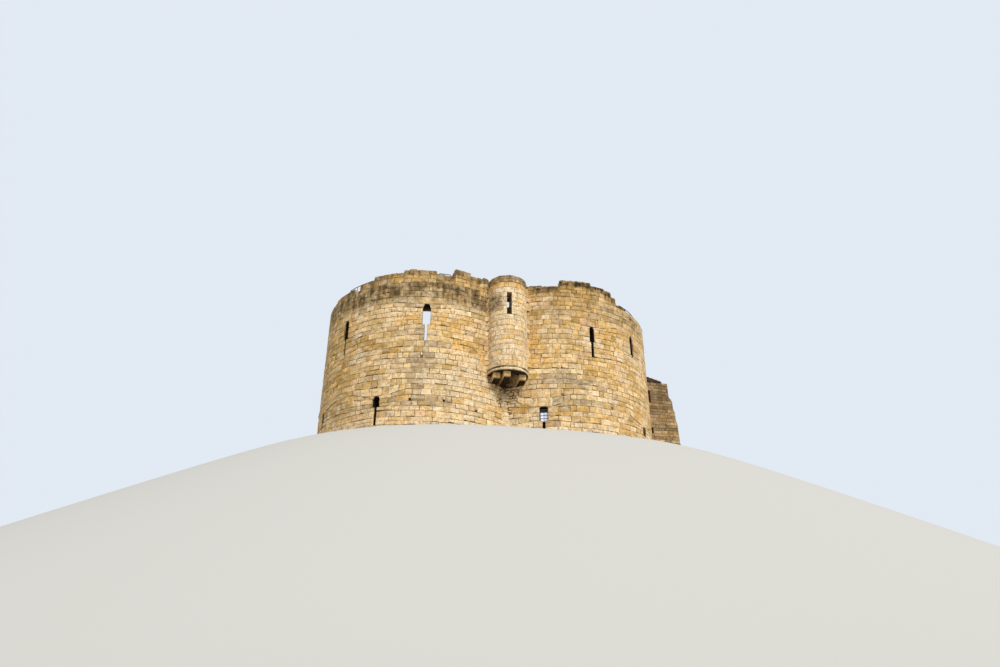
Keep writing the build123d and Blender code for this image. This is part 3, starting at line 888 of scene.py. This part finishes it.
notch_bearing = degrees(acos(lobe_offset / lobe_radius))
notch_half = 135 - notch_bearing - seam_clear
turret_half = 135 - turret_meets(turret_reach)[0] - 0.5
gate_bearing = degrees(asin((lobe_offset - gate_half) / lobe_radius))


def outer_limits(lobe, face):
    """Ends of a course on a lobe's outer face, clear of turrets and gatehouse."""

    def limits(level):
        half = notch_half if level < roll_foot else turret_half
        first, last = lobe.diagonal - half, lobe.diagonal + half
        if lobe.x > 0:
            last = gate_bearing - seam_clear if level < gate_top - 0.2 else lobe.diagonal + notch_half
        return face.along(first), face.along(last)

    return limits


def soot_and_shade_on(lobe, face):
    """Soot, damp and painted shade on a lobe's outer face, by place: a band under the parapet, and patches,
    of which those just under the turrets are painted shade as well as sooting.
    """
    side = sides[lobe.x]
    middle = face.along(lobe.diagonal - 20 * lobe.x)

    def weather_and_shade(s, t):
        fade = np.clip(1.3 - np.abs(s - middle) / 9.0, 0.3, 1)
        under = faded(t, dark_band_foot, 0.7) * faded(t, parapet_line + 0.03, -0.06)
        over = faded(t, parapet_line + 0.25, 0.7)
        soot = side.band * under * fade + 0.75 * over
        return np.clip(blots(side.soot, s, t, face, soot), 0, 2)

    return weather_and_shade


def open_joints(corners, rng, share, low, high):
    """Raises some stones' feet, and gives the gaps that this leaves, which lay_gaps fills with black painted
    shade.
    """
    count = len(corners)
    tall = corners[:, 3, 1] - corners[:, 0, 1]
    open_here = (rng.random(count) < share) & (tall > 0.18)
    raise_by = np.where(open_here, rng.uniform(low, high, count), 0)
    raised = corners.copy()
    raised[:, :2, 1] += raise_by[:, None] * rng.choice([(1.0, 0.1), (0.1, 1.0), (1.0, 0.7)], count)
    gaps = np.stack([corners[:, 0], corners[:, 1], raised[:, 1], raised[:, 0]], 1)[open_here]
    return raised, gaps


# Black sheets in the gaps under raised stones and in drain holes: painted shade in the voids.
def lay_gaps(work, face, gaps, stand, gap=0.004, bevel=0.002):
    work.add(face, gaps, black(len(gaps)), stand, 0.3, 0, 1, 1, gap=gap, bevel=bevel)


def lay_lobe(lobe, stone, seed):
    """Outer facing of one lobe, up to the line under its parapet."""
    side = sides[lobe.x]
    face = lobe_face(lobe)
    work = Masonry(f"{lobe.name}_facing", seed)
    rng = work.rng
    lights = [loop_light(face, loop) for loop in side.loops]
    bedding = Bedding(side.levels, [0.24, 0.315, 0.31], rng, lights)
    half = drain_size / 2
    holes = [(face.along(b) - half, face.along(b) + half, level) for b, level in side.drains]
    corners = bedding.lay(outer_limits(lobe, face), 0.54, holes)
    s, t = middles(corners)
    mix = {
        kind: blots(side.patches.get(kind, ()), s, t, face, limestone_mix.get(kind, 0))
        for kind in kinds
    }
    colour = colours_of(mix, rng, len(corners))
    colour = blend(colour, PALE, 0.3 * faded(t, plinth_top + 0.2, -0.4))
    torn = face.along(lobe.diagonal - lobe.x * notch_half)
    scar = np.exp(-(((s - torn) / 0.9) ** 2) - ((t - scar_level) / 0.95) ** 2)
    stand = proud + rng.normal(0, 0.005, len(t)) - 0.02 * (rng.random(len(t)) < 0.03)
    if lobe.x < 0:
        bearing, level = hollow_stone
        stand -= 0.03 * (np.hypot((s - face.along(bearing)) / 0.3, (t - level) / 0.2) < 1)
    stand = np.maximum(stand + scar * rng.normal(-0.005, 0.03, len(t)), 0.006)
    share = 0.13 + 0.14 * np.exp(-(((s - torn) / 2.5) ** 2)) * (t < 5.5)
    corners, gaps = open_joints(corners, rng, share, 0.018, 0.065)
    weather_and_shade = soot_and_shade_on(lobe, face)
    seam = np.clip(rng.lognormal(-4.7, 0.5, len(t)), 0.004, 0.03)
    whole = (np.abs(s - torn) > torn_width(t)) | (t > roll_foot)
    rough = 1.3 + 3 * scar
    work.add(face, corners[whole], colour[whole], stand[whole], rough[whole], weather_and_shade, gap=seam[whole])
    lay_scar(work, face, torn, lobe.x, weather_and_shade)
    if lobe.x > 0:
        lay_dressings(work, face, side.loops[2])
    lay_gaps(work, face, gaps, 0.006)
    for first, last, level in holes:
        course = int(np.searchsorted(bedding.lines, level)) - 1
        ends = np.array([first, last])
        foot, head = bedding.level(course, ends), bedding.level(course + 1, ends)
        stone_over = stone_between(ends, foot + drain_rise, head)
        work.add(face, stone_over, colours_of(limestone_mix, rng, 1), proud, 1, weather_and_shade, 1, 1)
        # Black sheet at the back of each drain hole: painted shade inside it.
        lay_gaps(work, face, stone_between(ends, foot, foot + drain_rise), 0.004, 0.0, 0.001)
    work.finish(stone)


def lay_dressings(work, face, loop):
    """Pink stones beside and over the right lobe's tall loop."""
    wide, head = 0.09, 7.65
    edge = face.along(loop.bearing) + loop.width / 2
    jamb = stone_between((edge, edge + wide), (loop.sill, loop.sill), (loop.head - 0.15, loop.head))
    lintel = block(edge - 3 * wide, edge + wide, loop.head, head)
    pink = np.tile(PINK, (2, 1))
    work.add(face, np.concatenate([jamb, lintel]), pink, proud + 0.012, 0.6, gap=0.004, bevel=0.006)


def torn_width(level):
    """How far from its notch a lobe's facing is torn away, under the turret."""
    return np.interp(level, (2.0, 2.2, 3.0, 3.6, 4.2), (0, 0.2, 0.6, 1.05, 1.15))


def lay_scar(work, face, torn, way, weather_and_shade):
    """Rough core of small stones where the facing under a turret has gone."""
    rng = work.rng

    def limits(level):
        far = torn + way * (torn_width(level) + 0.15)
        return min(torn, far), max(torn, far)

    corners = Bedding([scar_foot, roll_foot], [0.17], rng, (), 0.03).lay(limits, 0.2)
    corners = corners + rng.normal(0, 0.016, corners.shape)
    count = len(corners)
    # Painted light: the stones are made 1.3 times paler to offset the shade of the crease and the turret
    # above them.
    colour = no_brighter(1.3 * colours_of(scar_mix, rng, count))
    stand = np.clip(rng.normal(0.02, 0.02, count), 0.003, 0.05)
    gap = np.clip(rng.lognormal(-3.6, 0.6, count), 0.01, 0.09)
    work.add(face, corners, colour, stand, 3.5, weather_and_shade, gap=gap, bevel=0.015)
    # Near-black sheet behind the rough stones: painted shade in the gaps between them.
    work.add(face, corners, black(count), 0.001, 0.0, 0, 1, 1, gap=0.0, bevel=0.0005, depth=0.003)


def lay_parapet(lobe, stone, seed):
    """Both faces, worn tops and broken ends of one lobe's parapet."""
    work = Masonry(f"{lobe.name}_parapet_facing", seed)
    rng = work.rng
    side = sides[lobe.x]
    outer, inner = lobe_face(lobe), lobe_face(lobe, parapet_thickness)
    low_end = lobe.diagonal - turret_half
    high_end = lobe.diagonal + (turret_half if lobe.x < 0 else notch_half)
    before = None
    for step in side.steps:
        first = max(min(step.first, step.last), low_end)
        last = min(max(step.first, step.last), high_end)
        if last - first < 1:
            continue
        if step.top - parapet_line > 0.1:
            bedding = Bedding([parapet_line, step.top], [0.29], rng, sway=0.006)
            corners = bedding.lay((outer.along(first), outer.along(last)), 0.46)
            at_top = middles(corners)[1] > step.top - 0.35
            kept = ~at_top | (rng.random(len(corners)) > 0.1)
            corners, at_top = corners[kept], at_top[kept]
            colour = colours_of(parapet_mix, rng, len(corners))
            corners[:, 2:, 1] += (rng.uniform(-0.07, 0.03, len(corners)) * at_top)[:, None]
            base, soot = side.parapet_soot
            work.add(outer, corners, colour, proud + rng.normal(0, 0.008, len(corners)), 2.0,
                     lambda s, t: base + soot * faded(t, step.top - 0.5, 0.3))
        ends = (inner.along(first), inner.along(last))
        work.cover(inner, [wall_walk, step.top], 0.29, ends, 0.5, rubble_mix, proud, 1.2, 0, 2, 1)
        cap = Level(lobe_centre(lobe), inner.radius, lobe_radius, step.top, lobe.turn)
        bedding = Bedding([inner.radius, lobe_radius], [0.3], rng)
        corners = bedding.lay((cap.along(first), cap.along(last)), 0.34)
        stand = np.clip(rng.normal(0.05, 0.022, len(corners)), 0.012, 0.1)
        if step.top < smooth_below:
            stand *= 0.35
        colour = colours_of(rubble_mix, rng, len(corners))
        work.add(cap, corners, colour, stand, 3.0, 0.6, gap=0.02, bevel=0.03)
        if before is not None:
            end = step.first if lobe.x < 0 else min(step.first, step.last)
            lay_parapet_end(work, lobe, end, before, step.top)
        before = step.top
    work.finish(stone)


def lay_parapet_end(work, lobe, bearing, before, after):
    """Broken end where the parapet steps, facing along the wall."""
    low, high = sorted((before, after))
    if high - low < 0.12:
        return
    out = outward(lobe, bearing)
    onward = np.array([-out[1], out[0], 0]) * lobe.turn * lobe.x
    face = upright((*lobe_centre(lobe), 0), onward if after < before else -onward)
    sign = 1 if np.dot(face.s_way, out) > 0 else -1
    ends = sorted((sign * (lobe_radius - parapet_thickness), sign * lobe_radius))
    work.cover(face, [low, high], 0.28, ends, 0.32, rubble_mix, 0.03, 2.5, 0.5, 2, 1, sway=0)


def bay_half(thickness):
    """Half the bearings that a bay's round face spans."""
    flat_face = notch_reach - thickness
    return 135 - degrees(asin((flat_face - lobe_offset) / (lobe_radius - thickness)))


def lay_bay(lobe, stone, seed):
    """Inner faces of one bay, lower and upper, and the ledge between them."""
    work = Masonry(f"{lobe.name}_bay_facing", seed)
    rng = work.rng
    for thickness, low, high, width, rise in storeys:
        face = lobe_face(lobe, thickness)
        here = [loop for loop in sides[lobe.x].loops if low < loop.sill < high]
        lights = [tidy_mouth(face, loop, thickness, width, rise) for loop in here]
        bedding = Bedding([low, high], [0.3], rng, lights)
        corners = bedding.lay(face.about(lobe.diagonal, bay_half(thickness) - seam_clear), 0.5)
        stand = np.maximum(0.035 + rng.normal(0, 0.01, len(corners)), 0.006)
        work.add(face, corners, colours_of(inside_mix, rng, len(corners)), stand, 1.2, 0, 2, 1)
    radii = (lobe_radius - lower_wall, lobe_radius - upper_wall)
    ledge = Level(lobe_centre(lobe), *radii, upper_storey, lobe.turn)
    ends = ledge.about(lobe.diagonal, bay_half(lower_wall) - 4)
    work.cover(ledge, radii, 0.4, ends, 0.45, inside_mix, 0.02, 1.5, 0, 2, 1)
    work.finish(stone)


def walk_half(radius):
    """Half the bearings that the wall walk spans at a distance from the lobe's centre."""
    inner = degrees(asin((notch_reach - upper_wall - lobe_offset) / radius))
    seam = degrees(acos(min(1, lobe_offset / radius)))
    return 135 - max(inner, seam) - 0.5


def lay_walk(stone, seed):
    """Flags on the wall walk of all four lobes."""
    work = Masonry("wall_walk_flags", seed)
    radii = (lobe_radius - upper_wall, lobe_radius - parapet_thickness)
    for lobe in lobes:
        face = Level(lobe_centre(lobe), *radii, wall_walk, lobe.turn)
        work.cover(face, radii, 0.38, lambda radius: face.about(lobe.diagonal, walk_half(radius)), 0.55,
                   rubble_mix, 0.025, 1.0, 0, 2, 2)
    work.finish(stone)


def lay_court_walls(stone, seed):
    """Flat inner faces at the four notches, between the bays."""
    work = Masonry("court_wall_facing", seed)
    for turn in (0, 90, 180, 270):
        out = np.array([sin(radians(turn)), -cos(radians(turn)), 0])
        for thickness, low, high, *_ in storeys:
            reach = notch_reach - thickness
            bay = sqrt((lobe_radius - thickness) ** 2 - (reach - lobe_offset) ** 2)
            half = lobe_offset - bay - mortar_seam
            passage = turn == 90 and low == floor_top
            lights = (doorway(floor_top, passage_half, 0.15, 0.15),) if passage else ()
            work.cover(upright(out * reach, -out), [low, high], 0.3, (-half, half), 0.5, inside_mix,
                       0.035, 1.2, 0, 2, 1, sway=0, lights=lights)
    work.finish(stone)


def court_row(y):
    """Half width of the court at a distance across it, and of the gap between bays."""
    radius = lobe_radius - lower_wall
    flat_face = notch_reach - lower_wall
    y = abs(y)
    half = flat_face if y <= lobe_offset else lobe_offset if y <= flat_face else 0.0
    gap = 0.0
    if abs(y - lobe_offset) < radius:
        chord = sqrt(radius**2 - (y - lobe_offset) ** 2)
        half = max(half, lobe_offset + chord)
        if y > flat_face:
            gap = lobe_offset - chord
    return half, gap


def lay_court_floor(stone, seed):
    """Worn flags over the court and bays."""
    work = Masonry("court_flags", seed)
    rng = work.rng
    face = Flat((0, 0, floor_top), (1, 0, 0), (0, 1, 0))
    reach = lobe_offset + lobe_radius - lower_wall - 0.05
    lines = Bedding([-reach, reach], [0.5], rng, (), 0).lines
    for low, high in zip(lines, lines[1:]):
        halves, gaps = zip(court_row(low), court_row(high))
        half, gap = min(halves), max(gaps)
        if half < 0.4:
            continue
        row = Bedding([low, high], [high - low], rng, (), 0)
        for ends in [(-half, half)] if gap == 0 else [(-half, -gap), (gap, half)]:
            if ends[1] - ends[0] > 0.3:
                corners = row.lay(ends, 0.75)
                work.add(face, corners, colours_of(paving_mix, rng, len(corners)), 0.02, 1.0, 0, 2, 2)
    work.finish(stone)


def lobe_point(side, way, along):
    """Point on a lobe's face in a notch's own frame, at a distance from the corner there."""
    angle = radians(way) + along / lobe_radius
    return side * (lobe_offset - lobe_radius * cos(angle)), -lobe_offset - lobe_radius * sin(angle)


def drum_point(side, way, reach, along):
    """The same on a turret's drum."""
    angle = radians(way) - along / turret_radius
    return side * turret_radius * sin(angle), -reach - turret_radius * cos(angle)


def bond(work, notch, ends, levels, height, mix, weather_and_shade):
    """Stones across a hollow corner, each on a plane of its own between the two faces."""
    rng = work.rng
    turn = radians(notch.turn)
    turned = np.array([(cos(turn), sin(turn)), (-sin(turn), cos(turn))])
    lines = Bedding(levels, [height], rng, (), 0).lines
    for low, high in zip(lines, lines[1:]):
        first, last = (np.array(end(rng.uniform(0.14, 0.34))) @ turned for end in ends)
        length = np.linalg.norm(last - first)
        face = Flat((*first, 0), (*(last - first) / length, 0))
        corners = block(0, length, low, high) + rng.normal(0, 0.008, (1, 4, 2))
        work.add(face, corners, colours_of(mix, rng, 1), 0.02, 1.5, weather_and_shade, 3, 2, gap=0.012, depth=0.24)


def lay_turret(notch, stone, seed):
    """Facing of one turret: its drum, moulding and worn rubble top."""
    work = Masonry(f"{notch.name}_turret_facing", seed)
    rng = work.rng
    reach = turret_reach - notch.set_back
    way = radians(notch.turn - 90)
    centre = (reach * cos(way), reach * sin(way))
    meets, shown = turret_meets(reach)
    door = degrees(asin(turret_door_half / turret_radius))
    drum = Round(centre, turret_radius, start=notch.turn)
    bearing, width, sill, head = turret_window
    light = straight(drum.along(bearing), sill, head, width / 2, 0.18)

    def limits(level):
        return drum.about(-90, shown if level < wall_walk else 180 - door)

    bedding = Bedding([turret_foot, turret_low_courses, rubble_foot], [0.31, 0.29], rng, (light,), 0.004)
    corners = bedding.lay(limits, 0.42)
    s, t = middles(corners)
    colour = blend(colours_of(turret_mix, rng, len(t)), GOLDEN, faded(t, turret_golden, 0.2, 0.8))
    beside = 0.6 * (np.abs(s - light.middle) < 0.45) * (np.abs(t - turret_pale) < 0.8)
    colour = no_brighter(blend(1.25 * colour, 1.05 * np.array(PALE), beside))

    def damp(s, t):
        aside = faded(s, drum.along(-105), -0.5)
        return faded(t, turret_golden, 1.2, 0.4) + aside * faded(t, 7.8, 0.4) * faded(t, 9.2, -0.4)

    work.add(drum, corners, colour, 0.03 + rng.normal(0, 0.004, len(t)), 1.0, damp, 4, 2, gap=0.011)

    # Painted shade: the first channel is 2, near-black, in the hollow between roll and drum and along the
    # roll's foot; 0.1 elsewhere.
    def groove_shade(s, t):
        share = (t - roll_foot) / (turret_foot - roll_foot)
        return np.where((share > 0.5) & (share < 0.8) | (share < 0.04), 2.0, 0.1)

    ring = Roll(centre, turret_radius + turret_overhang, start=notch.turn)
    work.cover(ring, [roll_foot, turret_foot], 0.35, limits, 0.5, turret_mix, 0.012, 0.5, groove_shade, 5, 12,
               sway=0, gap=0.006, bevel=0.004)
    rim = Round(centre, turret_radius + turret_overhang, start=notch.turn)
    corners = Bedding([rubble_foot, turret_top], [0.18], rng, (), 0.02).lay(rim.about(-90, 180), 0.27)
    count = len(corners)
    uneven = rng.uniform(-0.05, 0.05, count) * (middles(corners)[1] > turret_top - 0.15)
    corners[:, 2:, 1] += uneven[:, None]
    colour = colours_of(rubble_mix, rng, count)
    work.add(rim, corners, colour, 0.02 + rng.normal(0, 0.01, count), 2.5, 0.8, gap=0.02)
    bond_top = parapet_line if notch.name == "left" else sound_top
    for side, soot in ((-1, 0.9), (1, 0.25)):
        ends = [partial(lobe_point, side, meets), partial(drum_point, side, shown, reach)][::-side]
        bond(work, notch, ends, [turret_foot, bond_top], 0.3, limestone_mix,
             lambda s, t: soot * faded(t, 7.8, 0.7))
    ends = [partial(lobe_point, side, notch_bearing) for side in (-1, 1)]
    for levels, height in ((corner_stones[:2], 0.28), (corner_stones[1:], 0.16)):
        bond(work, notch, ends, levels, height, turret_mix, lambda s, t: faded(t, 3.0, 0.5, 0.8))
    cap = Level(centre, turret_bore, rim.radius, turret_top, start=notch.turn, crown=0.05)

    def worn_top(corners):
        high = 0.05 - 0.04 * np.sin(corners[:, 0, 0] / cap.radius + radians(notch.turn) + 0.3)
        return np.maximum(high + rng.normal(0, 0.015, len(corners)), 0.01)

    work.cover(cap, [turret_bore, rim.radius], 0.28, cap.about(-90, 180), 0.28, rubble_mix, worn_top,
               3.0, 0.8, sway=0, bevel=0.03)
    work.finish(stone)


# Laying the gatehouse


def lobe_edge(y):
    """x of the lobes' outer face at a distance across the gatehouse."""
    return lobe_offset + sqrt(lobe_radius**2 - (lobe_offset - abs(y)) ** 2)


def gate_colours(t, rng):
    """Colours of the gatehouse's stones, whose courses differ in tone and so show level streaks."""
    colour = colours_of(gate_mix, rng, len(t))
    course = np.floor(t / 0.2).astype(int)
    tones = rng.uniform(0.72, 1.2, course.max() + 1)
    return np.clip(colour * tones[course][:, None] * (1.0, 0.96, 0.88), 0.01, 0.9)


def gate_soot(s, t):
    return faded(t, 4.2, 2.5, 0.6)


def lay_gate(stone, seed):
    """Outer facing of the gatehouse: two sides and the stepped front."""
    work = Masonry("gatehouse_facing", seed)
    rng = work.rng
    start = lobe_edge(gate_half) + 0.05
    for side in (-1, 1):
        face = upright((0, side * gate_half, 0), (0, side, 0))
        lights = [straight(-side * gate_slit_x, *slit, gate_slit_half, 0.2) for slit in gate_side_slits]

        def limits(level):
            front = np.interp(level, *zip(*gate_profile)) - 0.01
            return sorted((-side * start, -side * front))

        corners = Bedding([0, gate_top], [0.215], rng, lights, 0.006).lay(limits, 0.4)
        s, t = middles(corners)
        colour = blend(gate_colours(t, rng), (0.55, 0.41, 0.25), faded(t, 1.6, -1.0, 0.5))
        corners, gaps = open_joints(corners, rng, 0.12, 0.01, 0.03)
        work.add(face, corners, colour, 0.03 + rng.normal(0, 0.006, len(t)), 1.3, gate_soot, 3, 1)
        lay_gaps(work, face, gaps, 0.005)
    lights = (doorway(0, gate_door_half, 0.12, 0.25), straight(0, *gate_front_slit, gate_slit_half, 0.25))
    levels = [level for level, reach in gate_profile]
    bedding = Bedding(levels, [0.24] * len(levels), rng, lights, 0.004)
    corners = bedding.lay((-gate_half + 0.01, gate_half - 0.01), 0.42)
    s, t = middles(corners)
    colour = gate_colours(t, rng)
    work.add(Stepped(), corners, colour, 0.03 + rng.normal(0, 0.006, len(t)), 1.3, gate_soot, 3, 1)
    work.finish(stone)


def lay_roof(tile, seed):
    """Plain tiles on the three slopes, with hip and ridge tiles over their meeting lines."""
    work = Masonry("gatehouse_roof_tiles", seed)
    rng = work.rng
    rise, run = sin(roof_pitch), cos(roof_pitch)
    faces = (
        Flat((0, -roof_half, roof_foot), (1, 0, 0), (0, run, rise)),
        Flat((0, roof_half, roof_foot), (-1, 0, 0), (0, -run, rise)),
        Flat((roof_front, 0, roof_foot), (0, 1, 0), (-run, 0, rise)),
    )
    for number, face in enumerate(faces):

        def limits(up):
            if number == 2:
                half = max(roof_half - up * run, 0.1)
                return -half, half
            near = lobe_edge(roof_half - up * run) + 0.05
            far = max(roof_front - up * run, near + 0.15)
            return (near, far) if number == 0 else (-far, -near)

        corners = Bedding([-0.06, roof_half / run], [0.17], rng, (), 0.003).lay(limits, 0.2)
        count = len(corners)
        colour = tile_mix[rng.integers(0, len(tile_mix), count)] * rng.normal(1, 0.12, (count, 1))
        work.add(face, corners, np.clip(colour, 0.01, 0.5), 0.012, 0.6, 0.1, 1, 1,
                 tilt=0.02, gap=0.006, bevel=0.004, depth=0.005)
    peak = np.array([roof_front - roof_half, 0, roof_foot + roof_half * rise / run])
    for low in (
        (roof_front, -roof_half, roof_foot), (roof_front, roof_half, roof_foot),
        (lobe_edge(0) + 0.05, 0, peak[2]),
    ):
        length = np.linalg.norm(peak - low)
        along = (peak - low) / length
        across = np.cross(along, UP)
        face = Flat(low, across / np.linalg.norm(across), along)
        corners = Bedding([0.05, length - 0.02], [0.3], rng, (), 0).lay((-0.11, 0.11), 0.3)
        colour = tile_mix[rng.integers(0, len(tile_mix), len(corners))]
        work.add(face, corners, colour, 0.03, 0.4, 0, 2, 1, tilt=0.02, gap=0.01, bevel=0.035)
    work.finish(tile)


def lay_window_bars(metal, painted_shade, seed):
    """Upright and cross bars in front of the panes, two panes by three, and a black head board that paints
    the shade under the opening's head.
    """
    work = Masonry("window_bars", seed)
    shade_boards = Masonry("window_head_shade_boards", seed + 1)
    bar_half, pane_depth, edge = 0.012, 0.262, 0.04
    half = window.width / 2 - edge
    low, high = window.sill + edge, window.shoulder - edge
    brim = high - 0.16
    bars = [block(-bar_half, bar_half, low, high)]
    for share in (1 / 3, 2 / 3):
        level = low + share * (brim - low)
        bars.append(block(-half, half, level - bar_half, level + bar_half))
    bars = np.concatenate(bars)
    for lobe in lobes:
        if lobe.x > 0:
            out = outward(lobe, window.bearing)
            face = upright(np.array([*lobe_centre(lobe), 0]) + out * (lobe_radius - pane_depth), out)
            work.add(face, bars, np.full((len(bars), 3), 0.5), 0.02, 0, 0, 1, 1,
                     gap=0.0, bevel=0.003, depth=0.01)
            # Painted shade: a black board over the top of the panes stands for the shade under the opening's
            # head.
            shade_boards.add(face, block(-half, half, brim, high), black(1), 0.024, 0, 0, 2, 1,
                       gap=0.0, bevel=0.003, depth=0.012)
    shade_boards.finish(painted_shade)
    work.finish(metal)


# Looks of the frame's own pieces, by the first of these that a name holds
frame_looks = (
    ("guard_rails", "rail"), ("window_frames", "frame"), ("window_panes", "glass"),
    ("gatehouse_roof", "batten"), ("turret_base", "corbel"), ("gatehouse_", "gate_core"), ("", "core"),
)


def dress_frame(finishes):
    for name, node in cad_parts.items():
        look = next(look for part, look in frame_looks if part in name)
        node.data.materials.clear()
        node.data.materials.append(finishes[look])


# Stage, light and camera


def stage_level(x, y):
    """Level of the floor, whose crest is a rounded square."""
    squareness = 2.53
    reach = (abs(x - 0.87) ** squareness + abs(y - 0.23) ** squareness) ** (1 / squareness)
    over = max(0.0, reach - 12.97)
    slope, rounding, deep = 0.59, 1.865, 13.2
    fall = slope * (sqrt(over**2 + rounding**2) - rounding)
    return np.log1p(np.exp(deep - fall)) - deep - 0.012


def make_stage(material):
    """Pale plain floor, level under the keep, that falls away round it."""
    rings = np.concatenate([[0.0, 6.0, 11.0], np.linspace(12.0, 22.0, 41), np.geomspace(22.5, 220.0, 60)])
    turns = 180
    angles = [2 * pi * k / turns for k in range(turns)]
    places = [(ring * cos(angle), ring * sin(angle)) for ring in rings for angle in angles]
    faces = [
        (first + k, first + turns + k, first + turns + (k + 1) % turns, first + (k + 1) % turns)
        for first in range(0, len(places) - turns, turns) for k in range(turns)
    ]
    mesh = bpy.data.meshes.new("ground_stage")
    mesh.from_pydata([(x, y, stage_level(x, y)) for x, y in places], [], faces)
    mesh.shade_smooth()
    mesh.materials.append(material)
    stage = placed("ground_stage", mesh)


def make_world():
    """Pale backdrop, brighter where it is seen than as a light."""
    world = bpy.data.worlds.new("pale_sky")
    bpy.context.scene.world = world
    world.use_nodes = True
    world.node_tree.nodes.clear()
    sky = Nodes(world.node_tree)
    light = sky.node("Background", (0.93, 0.96, 1.0, 1), 0.55).outputs[0]
    shown = sky.node("Background", (0.76, 0.82, 0.90, 1), 1.0).outputs[0]
    rays = sky.node("LightPath").outputs
    sight = sky.maths("MAXIMUM", rays["Is Camera Ray"], rays["Is Glossy Ray"])
    sight = sky.maths("MAXIMUM", sight, rays["Is Transmission Ray"])
    sky.node("OutputWorld", sky.node("MixShader", sight, light, shown).outputs[0])


def aim(item, right, up, back, place=(0, 0, 0)):
    """Turns an object by its own three axes, and places it."""
    turn = np.stack([right, up, back], 1)
    item.matrix_world = Matrix([[*row, at] for row, at in zip(turn, place)] + [[0, 0, 0, 1]])


def make_sun():
    lamp = bpy.data.lights.new("soft_sun", "SUN")
    lamp.energy = 2.4
    lamp.angle = radians(22)
    lamp.color = (1.0, 0.955, 0.87)
    bearing, height = radians(-75), radians(38)
    back = np.array([cos(height) * cos(bearing), cos(height) * sin(bearing), sin(height)])
    right = np.cross(UP, back)
    right /= np.linalg.norm(right)
    aim(placed("soft_sun", lamp), right, np.cross(back, right), back)


def make_camera():
    """Camera low before the keep, that looks up at it as in the photograph."""
    data = bpy.data.cameras.new("camera")
    data.lens = 25.92
    data.sensor_width = 36
    data.clip_end = 1000
    heading, pitch, roll = radians(12.044), radians(25.799), radians(0.094)
    forward = np.array([sin(heading) * cos(pitch), cos(heading) * cos(pitch), sin(pitch)])
    level = np.array([cos(heading), -sin(heading), 0])
    above = np.cross(level, forward)
    right = level * cos(roll) + above * sin(roll)
    up = above * cos(roll) - level * sin(roll)
    camera = placed("camera", data)
    aim(camera, right, up, -forward, (-8.323, -46.567, -11.395))
    bpy.context.scene.camera = camera


limestone = stone_finish("weathered_limestone")
turret_stone = stone_finish("turret_limestone", dirt=0.6, stains=0.6)
gate_stone = stone_finish("gatehouse_rubble", (0.13, 0.085, 0.045), 0.5, 0.3)
roof_tile = stone_finish("roof_tiles", (0.05, 0.03, 0.02), 0.3, 0.0)
finishes = {
    "core": core_finish("wall_core"),
    "gate_core": core_finish("gatehouse_core", 0.6),
    "corbel": corbel_finish("shaded_and_sooted_corbels"),
    "batten": metal_finish("roof_underside", (0.06, 0.035, 0.02), 0.9),
    "rail": metal_finish("dark_paint_and_shade", (0.028, 0.032, 0.04), 0.5),
    "frame": metal_finish("window_paint", (0.13, 0.13, 0.15), 0.5),
    "glass": glass_finish("dusty_glass"),
}
dress_frame(finishes)
for number, lobe in enumerate(lobes):
    lay_lobe(lobe, limestone, 11 + number)
    lay_parapet(lobe, limestone, 31 + number)
    lay_bay(lobe, limestone, 51 + number)
for number, notch in enumerate(notches):
    lay_turret(notch, turret_stone, 71 + number)
lay_court_walls(limestone, 81)
lay_court_floor(limestone, 82)
lay_walk(limestone, 83)
lay_gate(gate_stone, 84)
lay_roof(roof_tile, 85)
lay_window_bars(finishes["frame"], finishes["rail"], 86)

make_stage(stage_finish("pale_ground"))
make_world()
make_sun()
make_camera()
bpy.context.scene.view_settings.view_transform = "Standard"
